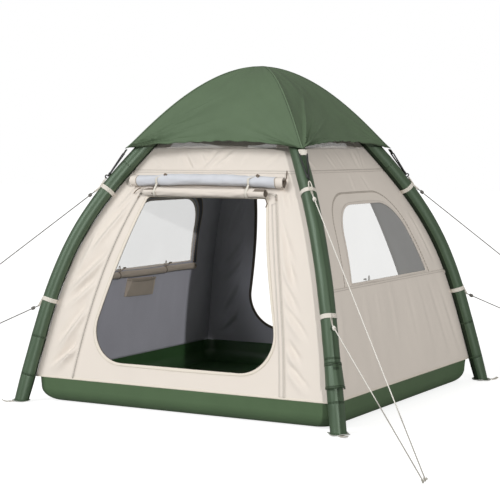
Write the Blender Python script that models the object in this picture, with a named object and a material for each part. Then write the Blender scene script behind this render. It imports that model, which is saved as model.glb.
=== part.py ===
# Inflatable camping tent: two crossing air beams carry a square cabin, with a fly over the crown.
# Metres, +Z up. The origin is on the ground under the crown, and the front door faces -Y.
import bmesh
import bpy
import numpy as np
from math import atan2, cos, hypot, pi, radians, sin, sqrt, tan
from mathutils import Matrix, Vector

# Air beams: the centre line in a diagonal plane, from the foot over a shoulder to the crown
FOOT_REACH = 1.485
SHOULDER_REACH = 0.735
SHOULDER_HEIGHT = 1.500
CROWN_HEIGHT = 1.940
FOOT_LEAN = radians(15.8)
SHOULDER_LEAN = radians(43.75)
BEAM_DIAMETER = 0.088
SLEEVE_THICKNESS = 0.0015
BEAM_SIDES = 10

# Cabin
HEM_HEIGHT = 0.1455
SEAM_HEIGHT = 1.364
EAVE_HEIGHT = 1.500
WALL_THICKNESS = 0.003
ROOF_THICKNESS = 0.002
WALL_ROWS = 9
ROOF_COLUMNS = 6
WALL_COLUMNS = 10
FOLD_DEPTH = 0.009
FOLD_PITCH = 0.34
FOLD_ZIP_FADE = 0.06
FOLD_CORNER_FADE = 0.10
FOLD_HEM_FADE = 0.12
FOLD_SEAM_FADE = 0.15
FOLD_SILL_GAP = 0.04
FOLD_SILL_FADE = 0.18
FOLD_POCKET_GAP = 0.01

# Floor tub
TUB_THICKNESS = 0.004
TUB_CORNER_RADIUS = 0.075
TUB_EDGE_RADIUS = 0.088
TUB_TAPER = 0.004

# Doors in the front and back walls, windows in the side walls
DOOR_BOTTOM = 0.262
DOOR_TOP = 1.215
DOOR_BOTTOM_HALF_WIDTH = 0.650
DOOR_TOP_HALF_WIDTH = 0.400
DOOR_CORNER_RADIUS = 0.200
WINDOW_BOTTOM = 0.742
WINDOW_TOP = 1.172
WINDOW_BOTTOM_HALF_WIDTH = 0.535
WINDOW_TOP_HALF_WIDTH = 0.360
WINDOW_CORNER_RADIUS = 0.190
WINDOW_BACK_SHIFT = 0.045
SMALL_CORNER_RADIUS = 0.025
BINDING_WIDTH = 0.024
BINDING_HEIGHT = 0.004
PANE_THICKNESS = 0.0015

# Rolls of cloth over the doors and under the windows
MESH_ROLL_RADIUS = 0.031
MESH_ROLL_RISE = 0.068
MESH_ROLL_CORNER_GAP = 0.0689
DOOR_ROLL_RADIUS = 0.0275
DOOR_ROLL_RISE = 0.037
DOOR_ROLL_OVERLAP = 0.005
BLIND_ROLL_RADIUS = 0.022
BLIND_ROLL_DROP = 0.036
BLIND_ROLL_OVERLAP = 0.025
ROLL_TURNS = 1.75
ROLL_STEPS_A_TURN = 8
ROLL_SHEET = 0.003
ROLL_PITCH = 0.0045
ROLL_STAND_OFF = 0.005
ROLL_TIE_PLACES = (-0.336, 0.284)
ROLL_TIE_WIDTH = 0.008
ROLL_TIE_THICKNESS = 0.002
ROLL_TIE_SIDES = 10
TOGGLE_LENGTH = 0.024
TOGGLE_RADIUS = 0.0045
TOGGLE_ANGLE = radians(62)

# Fly over the crown: its ridge in a diagonal plane
FLY_CORNER_DROP = 0.05647
FLY_CORNER_CLEARANCE = 0.03889
FLY_CLEARANCE = 0.016
FLY_CLOSING = 3.4
FLY_THICKNESS = 0.002
FLY_HEM_RISE = 0.042
FLY_HEM_FADE = 5
FLY_ROWS = 8
FLY_COLUMNS = 6

# Fly ties: a webbing tab, an elastic loop and a hook at each corner
TAB_WIDTH = 0.050
TAB_LENGTH = 0.032
TAB_THICKNESS = 0.002
ELASTIC_RADIUS = 0.0022
HOOK_STAND = 0.0371
HOOK_RISE = 0.084
HOOK_RADIUS = 0.011
HOOK_WIRE = 0.0022
HOOK_START = radians(-52)
HOOK_SWEEP = radians(282)

# Feet
PATCH_THICKNESS = 0.004
PATCH_HALF_WIDTH = 0.056
PATCH_HALF_DEPTH = 0.052
PEG_TAB_LENGTH = 0.062
PEG_TAB_WIDTH = 0.034
PEG_TAB_CURL = 0.012
PEG_HOLE_RADIUS = 0.006

# Webbing bands, guy lines and their runners
UPPER_BAND_HEIGHT = 1.250
LOWER_BAND_HEIGHT = 0.600
BAND_WIDTH = 0.025
BAND_THICKNESS = 0.002
LOOP_WIDTH = 0.012
LOOP_THICKNESS = 0.0025
FLY_LOOP_LENGTH = 0.040
FLY_LOOP_SLACK = radians(12.27)
GUY_DIAMETER = 0.006
GUY_GROUND_REACH = 2.690
GUY_GROUND_HEIGHT = 0.004
UPPER_GUY_STAND = 0.02717
UPPER_GUY_DROP = 0.0070
LOWER_GUY_STAND = 0.01260
LOWER_GUY_DROP = 0.0330
GUY_END_REACH = {"front_right": 2.672, "front_left": 1.640, "back_right": 1.640}
GUY_SPACING = 0.010
RUNNER_LENGTH = 0.026
RUNNER_RADIUS = 0.0070
RUNNER_BORE = 0.0035
RUNNER_PLACE = 0.022

# Inflation valve on the front right beam
VALVE_HEIGHT = 0.285
VALVE_RADIUS = 0.017
VALVE_STAND = 0.0045
CAP_RADIUS = 0.014
CAP_THICKNESS = 0.0045
FLAP_TOP = 0.366
FLAP_BOTTOM = 0.228
FLAP_THICKNESS = 0.0018
FLAP_FLARE = 0.024
FLAP_WRAP = radians(92)
FLAP_SIDES = 12

# Zip sliders and the pocket
ZIP_TOP_HEIGHT = 1.232
ZIP_BOTTOM_HEIGHT = 0.150
ZIP_BOTTOM_HALF_WIDTH = 0.718
ZIP_TOP_HALF_WIDTH = 0.45826
ZIP_BOW = 0.02590
ZIP_TOP_LEAN = radians(18)
SLIDER_LENGTH = 0.016
SLIDER_WIDTH = 0.010
SLIDER_THICKNESS = 0.004
PULL_LENGTH = 0.034
POCKET_BOTTOM = 0.556
POCKET_TOP = 0.664
POCKET_HALF_WIDTH = 0.140
POCKET_FRONT_SHIFT = 0.050
POCKET_DEPTH = 0.034
POCKET_FOOT_DEPTH = 0.010
POCKET_SHEET = 0.002
POCKET_STAND = 0.003

GAP = 0.0004

BEAM_RADIUS = BEAM_DIAMETER / 2
BAND_HEIGHTS = {"upper": UPPER_BAND_HEIGHT, "lower": LOWER_BAND_HEIGHT}
GUY_STANDS = {"upper": UPPER_GUY_STAND, "lower": LOWER_GUY_STAND}
GUY_DROPS = {"upper": UPPER_GUY_DROP, "lower": LOWER_GUY_DROP}
HOOK_HEIGHT = UPPER_BAND_HEIGHT + HOOK_RISE
BEAM_FLAT = BEAM_RADIUS * cos(pi / BEAM_SIDES)
CORNERS = {
    "front_left": (-1, -1),
    "front_right": (1, -1),
    "back_right": (1, 1),
    "back_left": (-1, 1),
}
SIDES = ("front", "right", "back", "left")

GREEN = (0.115, 0.215, 0.125)
BEIGE = (0.70, 0.62, 0.54)
CREAM = (0.80, 0.76, 0.66)
MATERIALS = {
    "beam_sleeve": (GREEN, 0.45, 0.0),
    "bladder_film": ((0.75, 0.78, 0.76), 0.30, 0.0),
    "wall_cloth": (BEIGE, 0.85, 0.0),
    "fly_cloth": ((0.13, 0.22, 0.12), 0.60, 0.0),
    "floor_sheet": ((0.07, 0.15, 0.08), 0.35, 0.0),
    "webbing": (CREAM, 0.85, 0.0),
    "guy_cord": ((0.78, 0.76, 0.70), 0.80, 0.0),
    "roof_mesh": ((0.72, 0.72, 0.72), 0.90, 0.0),
    "mesh_roll": ((0.62, 0.66, 0.74), 0.80, 0.0),
    "window_film": ((0.85, 0.87, 0.87), 0.15, 0.0),
    "blind_cloth": ((0.35, 0.28, 0.24), 0.85, 0.0),
    "black_elastic": ((0.02, 0.02, 0.02), 0.60, 0.0),
    "foot_rubber": ((0.20, 0.23, 0.20), 0.70, 0.0),
    "hard_plastic": ((0.12, 0.14, 0.12), 0.40, 0.0),
    "zip_metal": ((0.55, 0.52, 0.48), 0.35, 0.8),
}


def clear_scene():
    for obj in list(bpy.data.objects):
        bpy.data.objects.remove(obj)


def get_material(name):
    found = bpy.data.materials.get(name)
    if found:
        return found
    color, roughness, metallic = MATERIALS[name]
    material = bpy.data.materials.new(name)
    material.use_nodes = True
    shader = material.node_tree.nodes["Principled BSDF"]
    shader.inputs["Base Color"].default_value = (*color, 1.0)
    shader.inputs["Roughness"].default_value = roughness
    shader.inputs["Metallic"].default_value = metallic
    return material


def add_object(name, bm, material, place=None, smooth=40.0):
    bmesh.ops.recalc_face_normals(bm, faces=bm.faces)
    mesh = bpy.data.meshes.new(name)
    bm.to_mesh(mesh)
    bm.free()
    mesh.materials.append(get_material(material))
    mesh.shade_smooth()
    mesh.set_sharp_from_angle(angle=radians(smooth))
    obj = bpy.data.objects.new(name, mesh)
    bpy.context.scene.collection.objects.link(obj)
    if place is not None:
        obj.matrix_world = place
    return obj


def add_boolean(obj, bm, operation, place=None):
    cutter = add_object(obj.name + "_tool", bm, "hard_plastic", place)
    cutter.hide_render = True
    cutter.display_type = "WIRE"
    modifier = obj.modifiers.new(operation.lower(), "BOOLEAN")
    modifier.operation = operation
    modifier.solver = "EXACT"
    modifier.object = cutter


# Beam curve

def bezier(points, t):
    a, b, c, d = points
    return a * (1 - t) ** 3 + b * 3 * t * (1 - t) ** 2 + c * 3 * t * t * (1 - t) + d * t ** 3


def bezier_slope(points, t):
    a, b, c, d = points
    return (b - a) * 3 * (1 - t) ** 2 + (c - b) * 6 * t * (1 - t) + (d - c) * 3 * t * t


def beam_halves():
    foot = np.array([FOOT_REACH, 0.0])
    shoulder = np.array([SHOULDER_REACH, SHOULDER_HEIGHT])
    crown = np.array([0.0, CROWN_HEIGHT])
    up_foot = np.array([-sin(FOOT_LEAN), cos(FOOT_LEAN)])
    up_shoulder = np.array([-sin(SHOULDER_LEAN), cos(SHOULDER_LEAN)])
    lower = np.linalg.norm(shoulder - foot)
    upper = np.linalg.norm(crown - shoulder)
    outward = np.array([1.0, 0.0])
    leg = (foot, foot + up_foot * lower * 0.473, shoulder - up_shoulder * lower * 0.423, shoulder)
    top = (shoulder, shoulder + up_shoulder * upper * 0.26, crown + outward * upper * 0.36, crown)
    return leg, top


BEAM_HALVES = beam_halves()


def beam_point(t):
    half, local = (0, t) if t <= 1 else (1, t - 1)
    return bezier(BEAM_HALVES[half], local)


def beam_normal(t):
    half, local = (0, t) if t <= 1 else (1, t - 1)
    along = bezier_slope(BEAM_HALVES[half], local)
    along = along / np.linalg.norm(along)
    return np.array([along[1], -along[0]])


def inner_point(t):
    # The cabin's corner clears the bands, which pass between the beam and the walls
    return beam_point(t) - beam_normal(t) * (BEAM_FLAT + BAND_THICKNESS + 2 * GAP)


def solve(function, target, low, high):
    for _ in range(50):
        middle = (low + high) / 2
        if function(middle) < target:
            low = middle
        else:
            high = middle
    return (low + high) / 2


def station_at(height):
    return solve(lambda t: inner_point(t)[1], height, 0.0, 1.98)


def wall_levels():
    below = np.linspace(HEM_HEIGHT, SEAM_HEIGHT, WALL_ROWS + 1)
    return list(below) + [EAVE_HEIGHT]


WALL_STATIONS = [station_at(z) for z in wall_levels()]
TOP_STATIONS = list(np.linspace(WALL_STATIONS[-1], 2.0, 7))[1:]


def corner_reach(height):
    return float(inner_point(station_at(height))[0])


def wall_table():
    heights = np.linspace(0.0, CROWN_HEIGHT - BEAM_RADIUS - 0.01, 160)
    return heights, np.array([corner_reach(z) / sqrt(2) for z in heights])


WALL_TABLE = wall_table()


def wall_reach(height):
    return float(np.interp(height, *WALL_TABLE))


def wall_slope(height):
    return (wall_reach(height + 0.01) - wall_reach(height - 0.01)) / 0.02


def diagonal(corner):
    sx, sy = CORNERS[corner]
    return Vector((sx, sy, 0)) / sqrt(2)


def diagonal_frame(corner):
    along = diagonal(corner)
    across = Vector((-along.y, along.x, 0))
    frame = Matrix.Identity(4)
    for row in range(3):
        frame[row][0] = along[row]
        frame[row][1] = across[row]
    return frame


def side_frame(side):
    return Matrix.Rotation(SIDES.index(side) * pi / 2, 4, "Z")


# Tubes that follow the beam, in the diagonal frame: X along the diagonal, Y across, Z up

def beam_ring(bm, station, radius, mirror=1):
    center = beam_point(station)
    normal = beam_normal(station)
    verts = []
    for k in range(BEAM_SIDES):
        angle = (k + 0.5) * 2 * pi / BEAM_SIDES
        offset = normal * radius * cos(angle)
        reach = center[0] + offset[0]
        co = Vector((mirror * reach, radius * sin(angle), center[1] + offset[1]))
        verts.append(bm.verts.new(co))
    return verts


def foot_ring(bm, radius, height):
    station = solve(lambda t: beam_point(t)[1], height, 0.0, 1.0)
    center = beam_point(station)
    stretch = 1 / beam_normal(station)[0]
    verts = []
    for k in range(BEAM_SIDES):
        angle = (k + 0.5) * 2 * pi / BEAM_SIDES
        co = Vector((center[0] + radius * cos(angle) * stretch, radius * sin(angle), height))
        verts.append(bm.verts.new(co))
    return verts


def bridge(bm, first, second):
    count = len(first)
    for k in range(count):
        following = (k + 1) % count
        bm.faces.new((first[k], first[following], second[following], second[k]))


def skin(bm, rings, caps=True):
    for first, second in zip(rings, rings[1:]):
        bridge(bm, first, second)
    if caps:
        bm.faces.new(rings[0])
        bm.faces.new(list(reversed(rings[-1])))


def shell(bm, outer, inner):
    skin(bm, outer, caps=False)
    skin(bm, inner, caps=False)
    bridge(bm, outer[0], inner[0])
    bridge(bm, outer[-1], inner[-1])


FOOT_HEIGHT = PATCH_THICKNESS + GAP


def station_at_axis(height):
    return solve(lambda t: beam_point(t)[1], height, 0.0, 1.98)


def leg_stations():
    # The beam runs straight under each band and under the valve, so that they seat on flat facets
    runs = [(z, BAND_WIDTH * 0.8) for z in BAND_HEIGHTS.values()]
    runs.append((VALVE_HEIGHT, VALVE_RADIUS * 1.3))
    ends = [(station_at_axis(z - half), station_at_axis(z + half)) for z, half in runs]
    free = [t for t in WALL_STATIONS[:WALL_ROWS + 1] if not any(a < t < b for a, b in ends)]
    return sorted(free + [t for pair in ends for t in pair])


LEG_STATIONS = leg_stations()
CROWN_STATIONS = WALL_STATIONS[WALL_ROWS:] + TOP_STATIONS


def arch_rings(bm, stations, radius):
    near = [beam_ring(bm, t, radius) for t in stations]
    far = [beam_ring(bm, t, radius, mirror=-1) for t in stations[:-1]]
    return near, far


def full_arch(radius, stations, feet):
    bm = bmesh.new()
    near, far = arch_rings(bm, stations, radius)
    if feet:
        near = [foot_ring(bm, radius, FOOT_HEIGHT)] + near
        other = foot_ring(bm, radius, FOOT_HEIGHT)
        for vert in other:
            vert.co.x = -vert.co.x
        far = [other] + far
    skin(bm, near + list(reversed(far)))
    return bm


def make_bladder():
    inside = BEAM_RADIUS - SLEEVE_THICKNESS - GAP
    stations = LEG_STATIONS + CROWN_STATIONS[1:]
    first = full_arch(inside, stations, True)
    second = full_arch(inside, stations, True)
    bladder = add_object("air_bladder", first, "bladder_film", diagonal_frame("back_right"))
    add_boolean(bladder, second, "UNION", diagonal_frame("front_right"))


def make_crown_sleeve():
    start = LEG_STATIONS[-1]
    step = (LEG_STATIONS[-1] - LEG_STATIONS[-2]) / 2
    seam = station_at_axis(beam_point(start)[1] + GAP)
    outer = [seam] + CROWN_STATIONS[1:]
    inner = [start - step] + CROWN_STATIONS
    bore = BEAM_RADIUS - SLEEVE_THICKNESS
    one, two = diagonal_frame("back_right"), diagonal_frame("front_right")
    crown = add_object("crown_sleeve", full_arch(BEAM_RADIUS, outer, False), "beam_sleeve", one)
    add_boolean(crown, full_arch(BEAM_RADIUS, outer, False), "UNION", two)
    add_boolean(crown, full_arch(bore, inner, False), "DIFFERENCE", one)
    add_boolean(crown, full_arch(bore, inner, False), "DIFFERENCE", two)


def make_leg_sleeve(corner):
    bm = bmesh.new()
    radii = (BEAM_RADIUS, BEAM_RADIUS - SLEEVE_THICKNESS)
    walls = []
    for radius in radii:
        rings = [foot_ring(bm, radius, FOOT_HEIGHT)]
        rings += [beam_ring(bm, t, radius) for t in LEG_STATIONS]
        walls.append(rings)
    shell(bm, *walls)
    add_object("beam_sleeve_" + corner, bm, "beam_sleeve", diagonal_frame(corner))


def chord_frame(height):
    # A frame on the beam's faceted axis: X outward, Y across, Z along the beam
    points = [beam_point(t) for t in LEG_STATIONS]
    for low, high in zip(points, points[1:]):
        if low[1] <= height <= high[1]:
            share = (height - low[1]) / (high[1] - low[1])
            center = low + (high - low) * share
            along = (high - low) / np.linalg.norm(high - low)
            x_axis = Vector((along[1], 0, -along[0]))
            z_axis = Vector((along[0], 0, along[1]))
            y_axis = z_axis.cross(x_axis)
            frame = Matrix((x_axis, y_axis, z_axis)).transposed().to_4x4()
            frame.translation = Vector((center[0], 0, center[1]))
            return frame
    raise ValueError("height is off the beam's leg")


def prism_ring(bm, radius, z):
    verts = []
    for k in range(BEAM_SIDES):
        angle = (k + 0.5) * 2 * pi / BEAM_SIDES
        verts.append(bm.verts.new((radius * cos(angle), radius * sin(angle), z)))
    return verts


def box_mesh(low, high, bevel=0.0):
    bm = bmesh.new()
    size = Vector(high) - Vector(low)
    middle = (Vector(high) + Vector(low)) / 2
    bmesh.ops.create_cube(bm, size=1.0, matrix=Matrix.LocRotScale(middle, None, size))
    if bevel:
        bmesh.ops.bevel(bm, geom=bm.edges[:], offset=bevel, segments=1, profile=0.5,
                        affect="EDGES", material=-1)
    return bm


def guy_start(level):
    # Just outside the beam and a little under the band's middle
    height = BAND_HEIGHTS[level] - GUY_DROPS[level]
    reach = beam_point(station_at_axis(height))[0] + BEAM_RADIUS + GUY_STANDS[level]
    return Vector((reach, 0, height))


def make_band(corner, level):
    frame = diagonal_frame(corner) @ chord_frame(BAND_HEIGHTS[level])
    inner = BEAM_RADIUS + GAP
    outer = inner + BAND_THICKNESS
    bm = bmesh.new()
    ends = (-BAND_WIDTH / 2, BAND_WIDTH / 2)
    shell(bm, [prism_ring(bm, outer, z) for z in ends], [prism_ring(bm, inner, z) for z in ends])
    band = add_object("webbing_band_%s_%s" % (level, corner), bm, "webbing", frame)
    flat = outer * cos(pi / BEAM_SIDES)
    start = diagonal_frame(corner) @ guy_start(level)
    root = Vector((flat, 0, 0))
    tip = frame.inverted() @ start - root
    lug = box_mesh((-BAND_THICKNESS / 2, -LOOP_WIDTH / 2, -LOOP_THICKNESS / 2),
                   (tip.length - GUY_DIAMETER / 3, LOOP_WIDTH / 2, LOOP_THICKNESS / 2))
    lean = Matrix.Translation(root) @ Matrix.Rotation(atan2(-tip.z, tip.x), 4, "Y")
    add_boolean(band, lug, "UNION", frame @ lean)
    if level == "upper":
        low = (flat - BAND_THICKNESS / 2, -LOOP_WIDTH / 2, 0.0)
        high = (flat + LOOP_THICKNESS, LOOP_WIDTH / 2, BAND_WIDTH / 2 + FLY_LOOP_LENGTH)
        aim = chord_frame(BAND_HEIGHTS[level]).inverted() @ hook_point()
        lean = Matrix.Rotation(atan2(aim.x - flat, aim.z) - FLY_LOOP_SLACK, 4, "Y")
        add_boolean(band, box_mesh(low, high), "UNION", frame @ lean)


def make_foot_patch(corner):
    frame = diagonal_frame(corner)
    foot = beam_point(0.0)[0]
    bm = bmesh.new()
    outline = []
    for k in range(24):
        angle = k * 2 * pi / 24
        shape = 1.0 / (abs(cos(angle)) ** 4 + abs(sin(angle)) ** 4) ** 0.25
        outline.append((foot + PATCH_HALF_DEPTH * cos(angle) * shape,
                        PATCH_HALF_WIDTH * sin(angle) * shape))
    rings = [[bm.verts.new((x, y, z)) for x, y in outline] for z in (0.0, PATCH_THICKNESS)]
    skin(bm, rings)
    patch = add_object("foot_patch_" + corner, bm, "foot_rubber", frame)
    add_boolean(patch, peg_tab(foot + PATCH_HALF_DEPTH - PATCH_THICKNESS), "UNION", frame)
    hole = bmesh.new()
    where = Matrix.Translation((peg_hole_reach(), 0, 0))
    bmesh.ops.create_cone(hole, cap_ends=True, segments=16, radius1=PEG_HOLE_RADIUS,
                          radius2=PEG_HOLE_RADIUS, depth=6 * PATCH_THICKNESS, matrix=where)
    add_boolean(patch, hole, "DIFFERENCE", frame)


def peg_hole_reach():
    return beam_point(0.0)[0] + PATCH_HALF_DEPTH + PEG_TAB_LENGTH * 0.28


def peg_tab(start):
    # The tab lies flat round its hole and curls up at the tip
    bm = bmesh.new()
    length = PEG_TAB_LENGTH + PATCH_THICKNESS
    rings = []
    for share in (0.0, 0.5, 0.65, 0.8, 0.9, 1.0):
        x = start + length * share
        rise = PEG_TAB_CURL * (max(0.0, share - 0.5) / 0.5) ** 2
        half = PEG_TAB_WIDTH / 2 * (1.0 if share < 0.85 else 1.0 - 2.5 * (share - 0.85))
        low, high = rise, rise + PATCH_THICKNESS * 0.75
        corners = ((x, -half, low), (x, half, low), (x, half, high), (x, -half, high))
        rings.append([bm.verts.new(co) for co in corners])
    skin(bm, rings)
    return bm


# Walls: each is built facing -Y, then turned to its side

def rounded_outline(corners, radii, steps=7):
    points = []
    count = len(corners)
    for k in range(count):
        corner = np.array(corners[k])
        before = np.array(corners[k - 1]) - corner
        after = np.array(corners[(k + 1) % count]) - corner
        before = before / np.linalg.norm(before)
        after = after / np.linalg.norm(after)
        half = np.arccos(np.clip(before @ after, -1, 1)) / 2
        middle = (before + after) / np.linalg.norm(before + after)
        center = corner + middle * radii[k] / sin(half)
        first = corner + before * radii[k] / tan(half) - center
        last = corner + after * radii[k] / tan(half) - center
        start = atan2(first[1], first[0])
        turn = (atan2(last[1], last[0]) - start + pi) % (2 * pi) - pi
        for step in range(steps):
            angle = start + turn * step / (steps - 1)
            points.append(center + radii[k] * np.array([cos(angle), sin(angle)]))
    return np.array(points)


def door_outline():
    corners = [(-DOOR_BOTTOM_HALF_WIDTH, DOOR_BOTTOM), (-DOOR_TOP_HALF_WIDTH, DOOR_TOP),
               (DOOR_TOP_HALF_WIDTH, DOOR_TOP), (DOOR_BOTTOM_HALF_WIDTH, DOOR_BOTTOM)]
    small, large = SMALL_CORNER_RADIUS, DOOR_CORNER_RADIUS
    return rounded_outline(corners, (large, small, small, large))


def window_outline(side):
    # Both windows sit a little towards the back of the cabin
    shift = WINDOW_BACK_SHIFT if side == "right" else -WINDOW_BACK_SHIFT
    corners = [(shift - WINDOW_BOTTOM_HALF_WIDTH, WINDOW_BOTTOM),
               (shift - WINDOW_TOP_HALF_WIDTH, WINDOW_TOP),
               (shift + WINDOW_TOP_HALF_WIDTH, WINDOW_TOP),
               (shift + WINDOW_BOTTOM_HALF_WIDTH, WINDOW_BOTTOM)]
    small, large = SMALL_CORNER_RADIUS, WINDOW_CORNER_RADIUS
    return rounded_outline(corners, (small, large, large, small))


def panel_border():
    # From the lower left corner up, over the eave, down the right edge and back along the hem
    levels = wall_levels()
    left = [(1.5 * GAP - wall_reach_exact(z), z) for z in levels]
    right = [(-x, z) for x, z in reversed(left)]
    across = np.linspace(-1, 1, WALL_COLUMNS + 1)[1:-1]
    eave = [(u * right[0][0], EAVE_HEIGHT) for u in across]
    hem = [(u * right[-1][0], HEM_HEIGHT) for u in reversed(across)]
    return [np.array(p) for p in left + eave + right + hem]


def wall_reach_exact(height):
    return corner_reach(height) / sqrt(2) - GAP


def meet_outline(outline, center, target):
    # The point where the ray from the opening's middle towards the border leaves the opening
    ray = target - center
    best = None
    for a, b in zip(outline, np.roll(outline, -1, axis=0)):
        edge = b - a
        cross = ray[0] * edge[1] - ray[1] * edge[0]
        if abs(cross) < 1e-12:
            continue
        gap = a - center
        along = (gap[0] * edge[1] - gap[1] * edge[0]) / cross
        share = (gap[0] * ray[1] - gap[1] * ray[0]) / cross
        if along > 0 and -1e-9 <= share <= 1 + 1e-9:
            best = along if best is None else min(best, along)
    return center + ray * best


def outline_center(outline):
    return (outline.min(axis=0) + outline.max(axis=0)) / 2


def opening_rings(outline):
    border = panel_border()
    center = outline_center(outline)
    edge = [meet_outline(outline, center, point) for point in border]
    rings = [edge]
    for width in (BINDING_WIDTH, BINDING_WIDTH + 0.002):
        rings.append([a + (b - a) * width / np.linalg.norm(b - a) for a, b in zip(edge, border)])
    start = rings[-1]
    for share in (0.25, 0.5, 0.75):
        rings.append([a + (b - a) * share for a, b in zip(start, border)])
    rings.append(border)
    return rings


def fade(value, low, high):
    share = min(1.0, max(0.0, (value - low) / (high - low)))
    return share * share * (3 - 2 * share)


def door_fold(x, z):
    # Slanting folds between the zip and the beam, dying out at both
    zip_line = zip_half_width(z)
    edge = wall_reach(z)
    across = fade(abs(x), zip_line, zip_line + FOLD_ZIP_FADE) * fade(edge - abs(x), 0.0, FOLD_CORNER_FADE)
    up = fade(z, HEM_HEIGHT, HEM_HEIGHT + FOLD_HEM_FADE) * fade(SEAM_HEIGHT - z, 0.0, FOLD_SEAM_FADE)
    return FOLD_DEPTH * across * up * sin(2 * pi * (abs(x) + 0.8 * z) / FOLD_PITCH)


def window_fold(x, z):
    # Upright folds that hang from the seam under the window
    up = fade(z, HEM_HEIGHT, HEM_HEIGHT + FOLD_HEM_FADE)
    up *= fade(WINDOW_BOTTOM - FOLD_SILL_GAP - z, 0.0, FOLD_SILL_FADE)
    across = fade(wall_reach(z) - abs(x), 0.0, FOLD_HEM_FADE)
    return FOLD_DEPTH * up * across * sin(2 * pi * x / FOLD_PITCH + 0.6)


def pocket_wall_fold(x, z):
    # The folds stay below the pocket, which keeps the cloth behind it flat
    return window_fold(x, z) * fade(POCKET_BOTTOM - z, FOLD_POCKET_GAP, FOLD_POCKET_GAP + FOLD_HEM_FADE)


def zip_half_width(z):
    share = (z - ZIP_BOTTOM_HEIGHT) / (ZIP_TOP_HEIGHT - ZIP_BOTTOM_HEIGHT)
    straight = ZIP_BOTTOM_HALF_WIDTH + (ZIP_TOP_HALF_WIDTH - ZIP_BOTTOM_HALF_WIDTH) * share
    return straight + 4 * ZIP_BOW * share * (1 - share)


def wall_point(x, z, depth=0.0, fold=None):
    # depth is measured inward from the wall's outer face; x shrinks with it, so corners stay mitred
    face = wall_reach_exact(z)
    shrink = (face - max(depth, 0.0)) / face
    bulge = fold(x, z) if fold else 0.0
    return Vector((x * shrink, -(face - depth + bulge), z))


def ring_verts(bm, ring, depth, fold):
    return [bm.verts.new(wall_point(x, z, depth, fold)) for x, z in ring]


def make_wall(side, outline, fold):
    rings = opening_rings(outline)
    bm = bmesh.new()
    proud = [-BINDING_HEIGHT, -BINDING_HEIGHT] + [0.0] * (len(rings) - 2)
    outer = [ring_verts(bm, ring, depth, fold) for ring, depth in zip(rings, proud)]
    inner = [ring_verts(bm, ring, WALL_THICKNESS, fold) for ring in rings]
    shell(bm, outer, inner)
    add_object("wall_" + side, bm, "wall_cloth", side_frame(side))


def make_pane(side):
    outline = window_outline(side)
    rings = opening_rings(outline)
    center = outline_center(outline)
    loops = [rings[1], rings[0]]
    for share in (0.62, 0.30):
        loops.append([center + (p - center) * share for p in rings[0]])
    bm = bmesh.new()
    faces = []
    for depth in (WALL_THICKNESS + GAP, WALL_THICKNESS + GAP + PANE_THICKNESS):
        layer = [ring_verts(bm, loop, depth, None) for loop in loops]
        skin(bm, layer, caps=False)
        middle = bm.verts.new(wall_point(center[0], center[1], depth))
        last = layer[-1]
        for k in range(len(last)):
            bm.faces.new((last[k], last[(k + 1) % len(last)], middle))
        faces.append(layer[0])
    bridge(bm, *faces)
    add_object("window_pane_" + side, bm, "window_film", side_frame(side))


def make_roof():
    bm = bmesh.new()
    stations = [WALL_STATIONS[-1]] + TOP_STATIONS[:-1]
    layers = []
    for depth in (0.0, ROOF_THICKNESS):
        layer = []
        for station in stations:
            reach, height = inner_point(station)
            height += GAP if station == stations[0] else -depth / 2
            half = reach / sqrt(2) - GAP - depth
            loop = []
            for turn in range(4):
                spin = Matrix.Rotation(turn * pi / 2, 3, "Z")
                for k in range(ROOF_COLUMNS):
                    u = -1 + 2 * k / ROOF_COLUMNS
                    loop.append(bm.verts.new(spin @ Vector((u * half, -half, height))))
            layer.append(loop)
        skin(bm, layer, caps=False)
        top = bm.verts.new((0, 0, inner_point(2.0)[1] - depth))
        last = layer[-1]
        for k in range(len(last)):
            bm.faces.new((last[k], last[(k + 1) % len(last)], top))
        layers.append(layer[0])
    bridge(bm, *layers)
    add_object("roof_mesh", bm, "roof_mesh")


# Fly

def fly_ridge(share):
    # The fly follows the beam, close over the crown and further off towards its corners
    start = station_at_axis(SHOULDER_HEIGHT - FLY_CORNER_DROP)
    station = start + (2.0 - start) * share
    stand = FLY_CLEARANCE + (FLY_CORNER_CLEARANCE - FLY_CLEARANCE) * (1 - share) ** FLY_CLOSING
    return beam_point(station) + beam_normal(station) * (BEAM_RADIUS + stand)


def make_fly():
    bm = bmesh.new()
    edges = []
    for depth in (0.0, FLY_THICKNESS):
        layer = []
        for row in range(FLY_ROWS):
            share = row / FLY_ROWS
            reach, height = fly_ridge(share)
            half = reach / sqrt(2)
            loop = []
            for turn in range(4):
                spin = Matrix.Rotation(turn * pi / 2, 3, "Z")
                for k in range(FLY_COLUMNS):
                    u = -1 + 2 * k / FLY_COLUMNS
                    rise = FLY_HEM_RISE * (1 - u * u) * (1 - share) ** FLY_HEM_FADE
                    inset = rise * 0.75
                    place = Vector((u * (half - depth), inset + depth - half, height + rise - depth))
                    loop.append(bm.verts.new(spin @ place))
            layer.append(loop)
        skin(bm, layer, caps=False)
        peak = bm.verts.new((0, 0, fly_ridge(1.0)[1] - depth))
        last = layer[-1]
        for k in range(len(last)):
            bm.faces.new((last[k], last[(k + 1) % len(last)], peak))
        edges.append(layer[0])
    bridge(bm, *edges)
    add_object("fly_canopy", bm, "fly_cloth", smooth=60.0)


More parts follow.
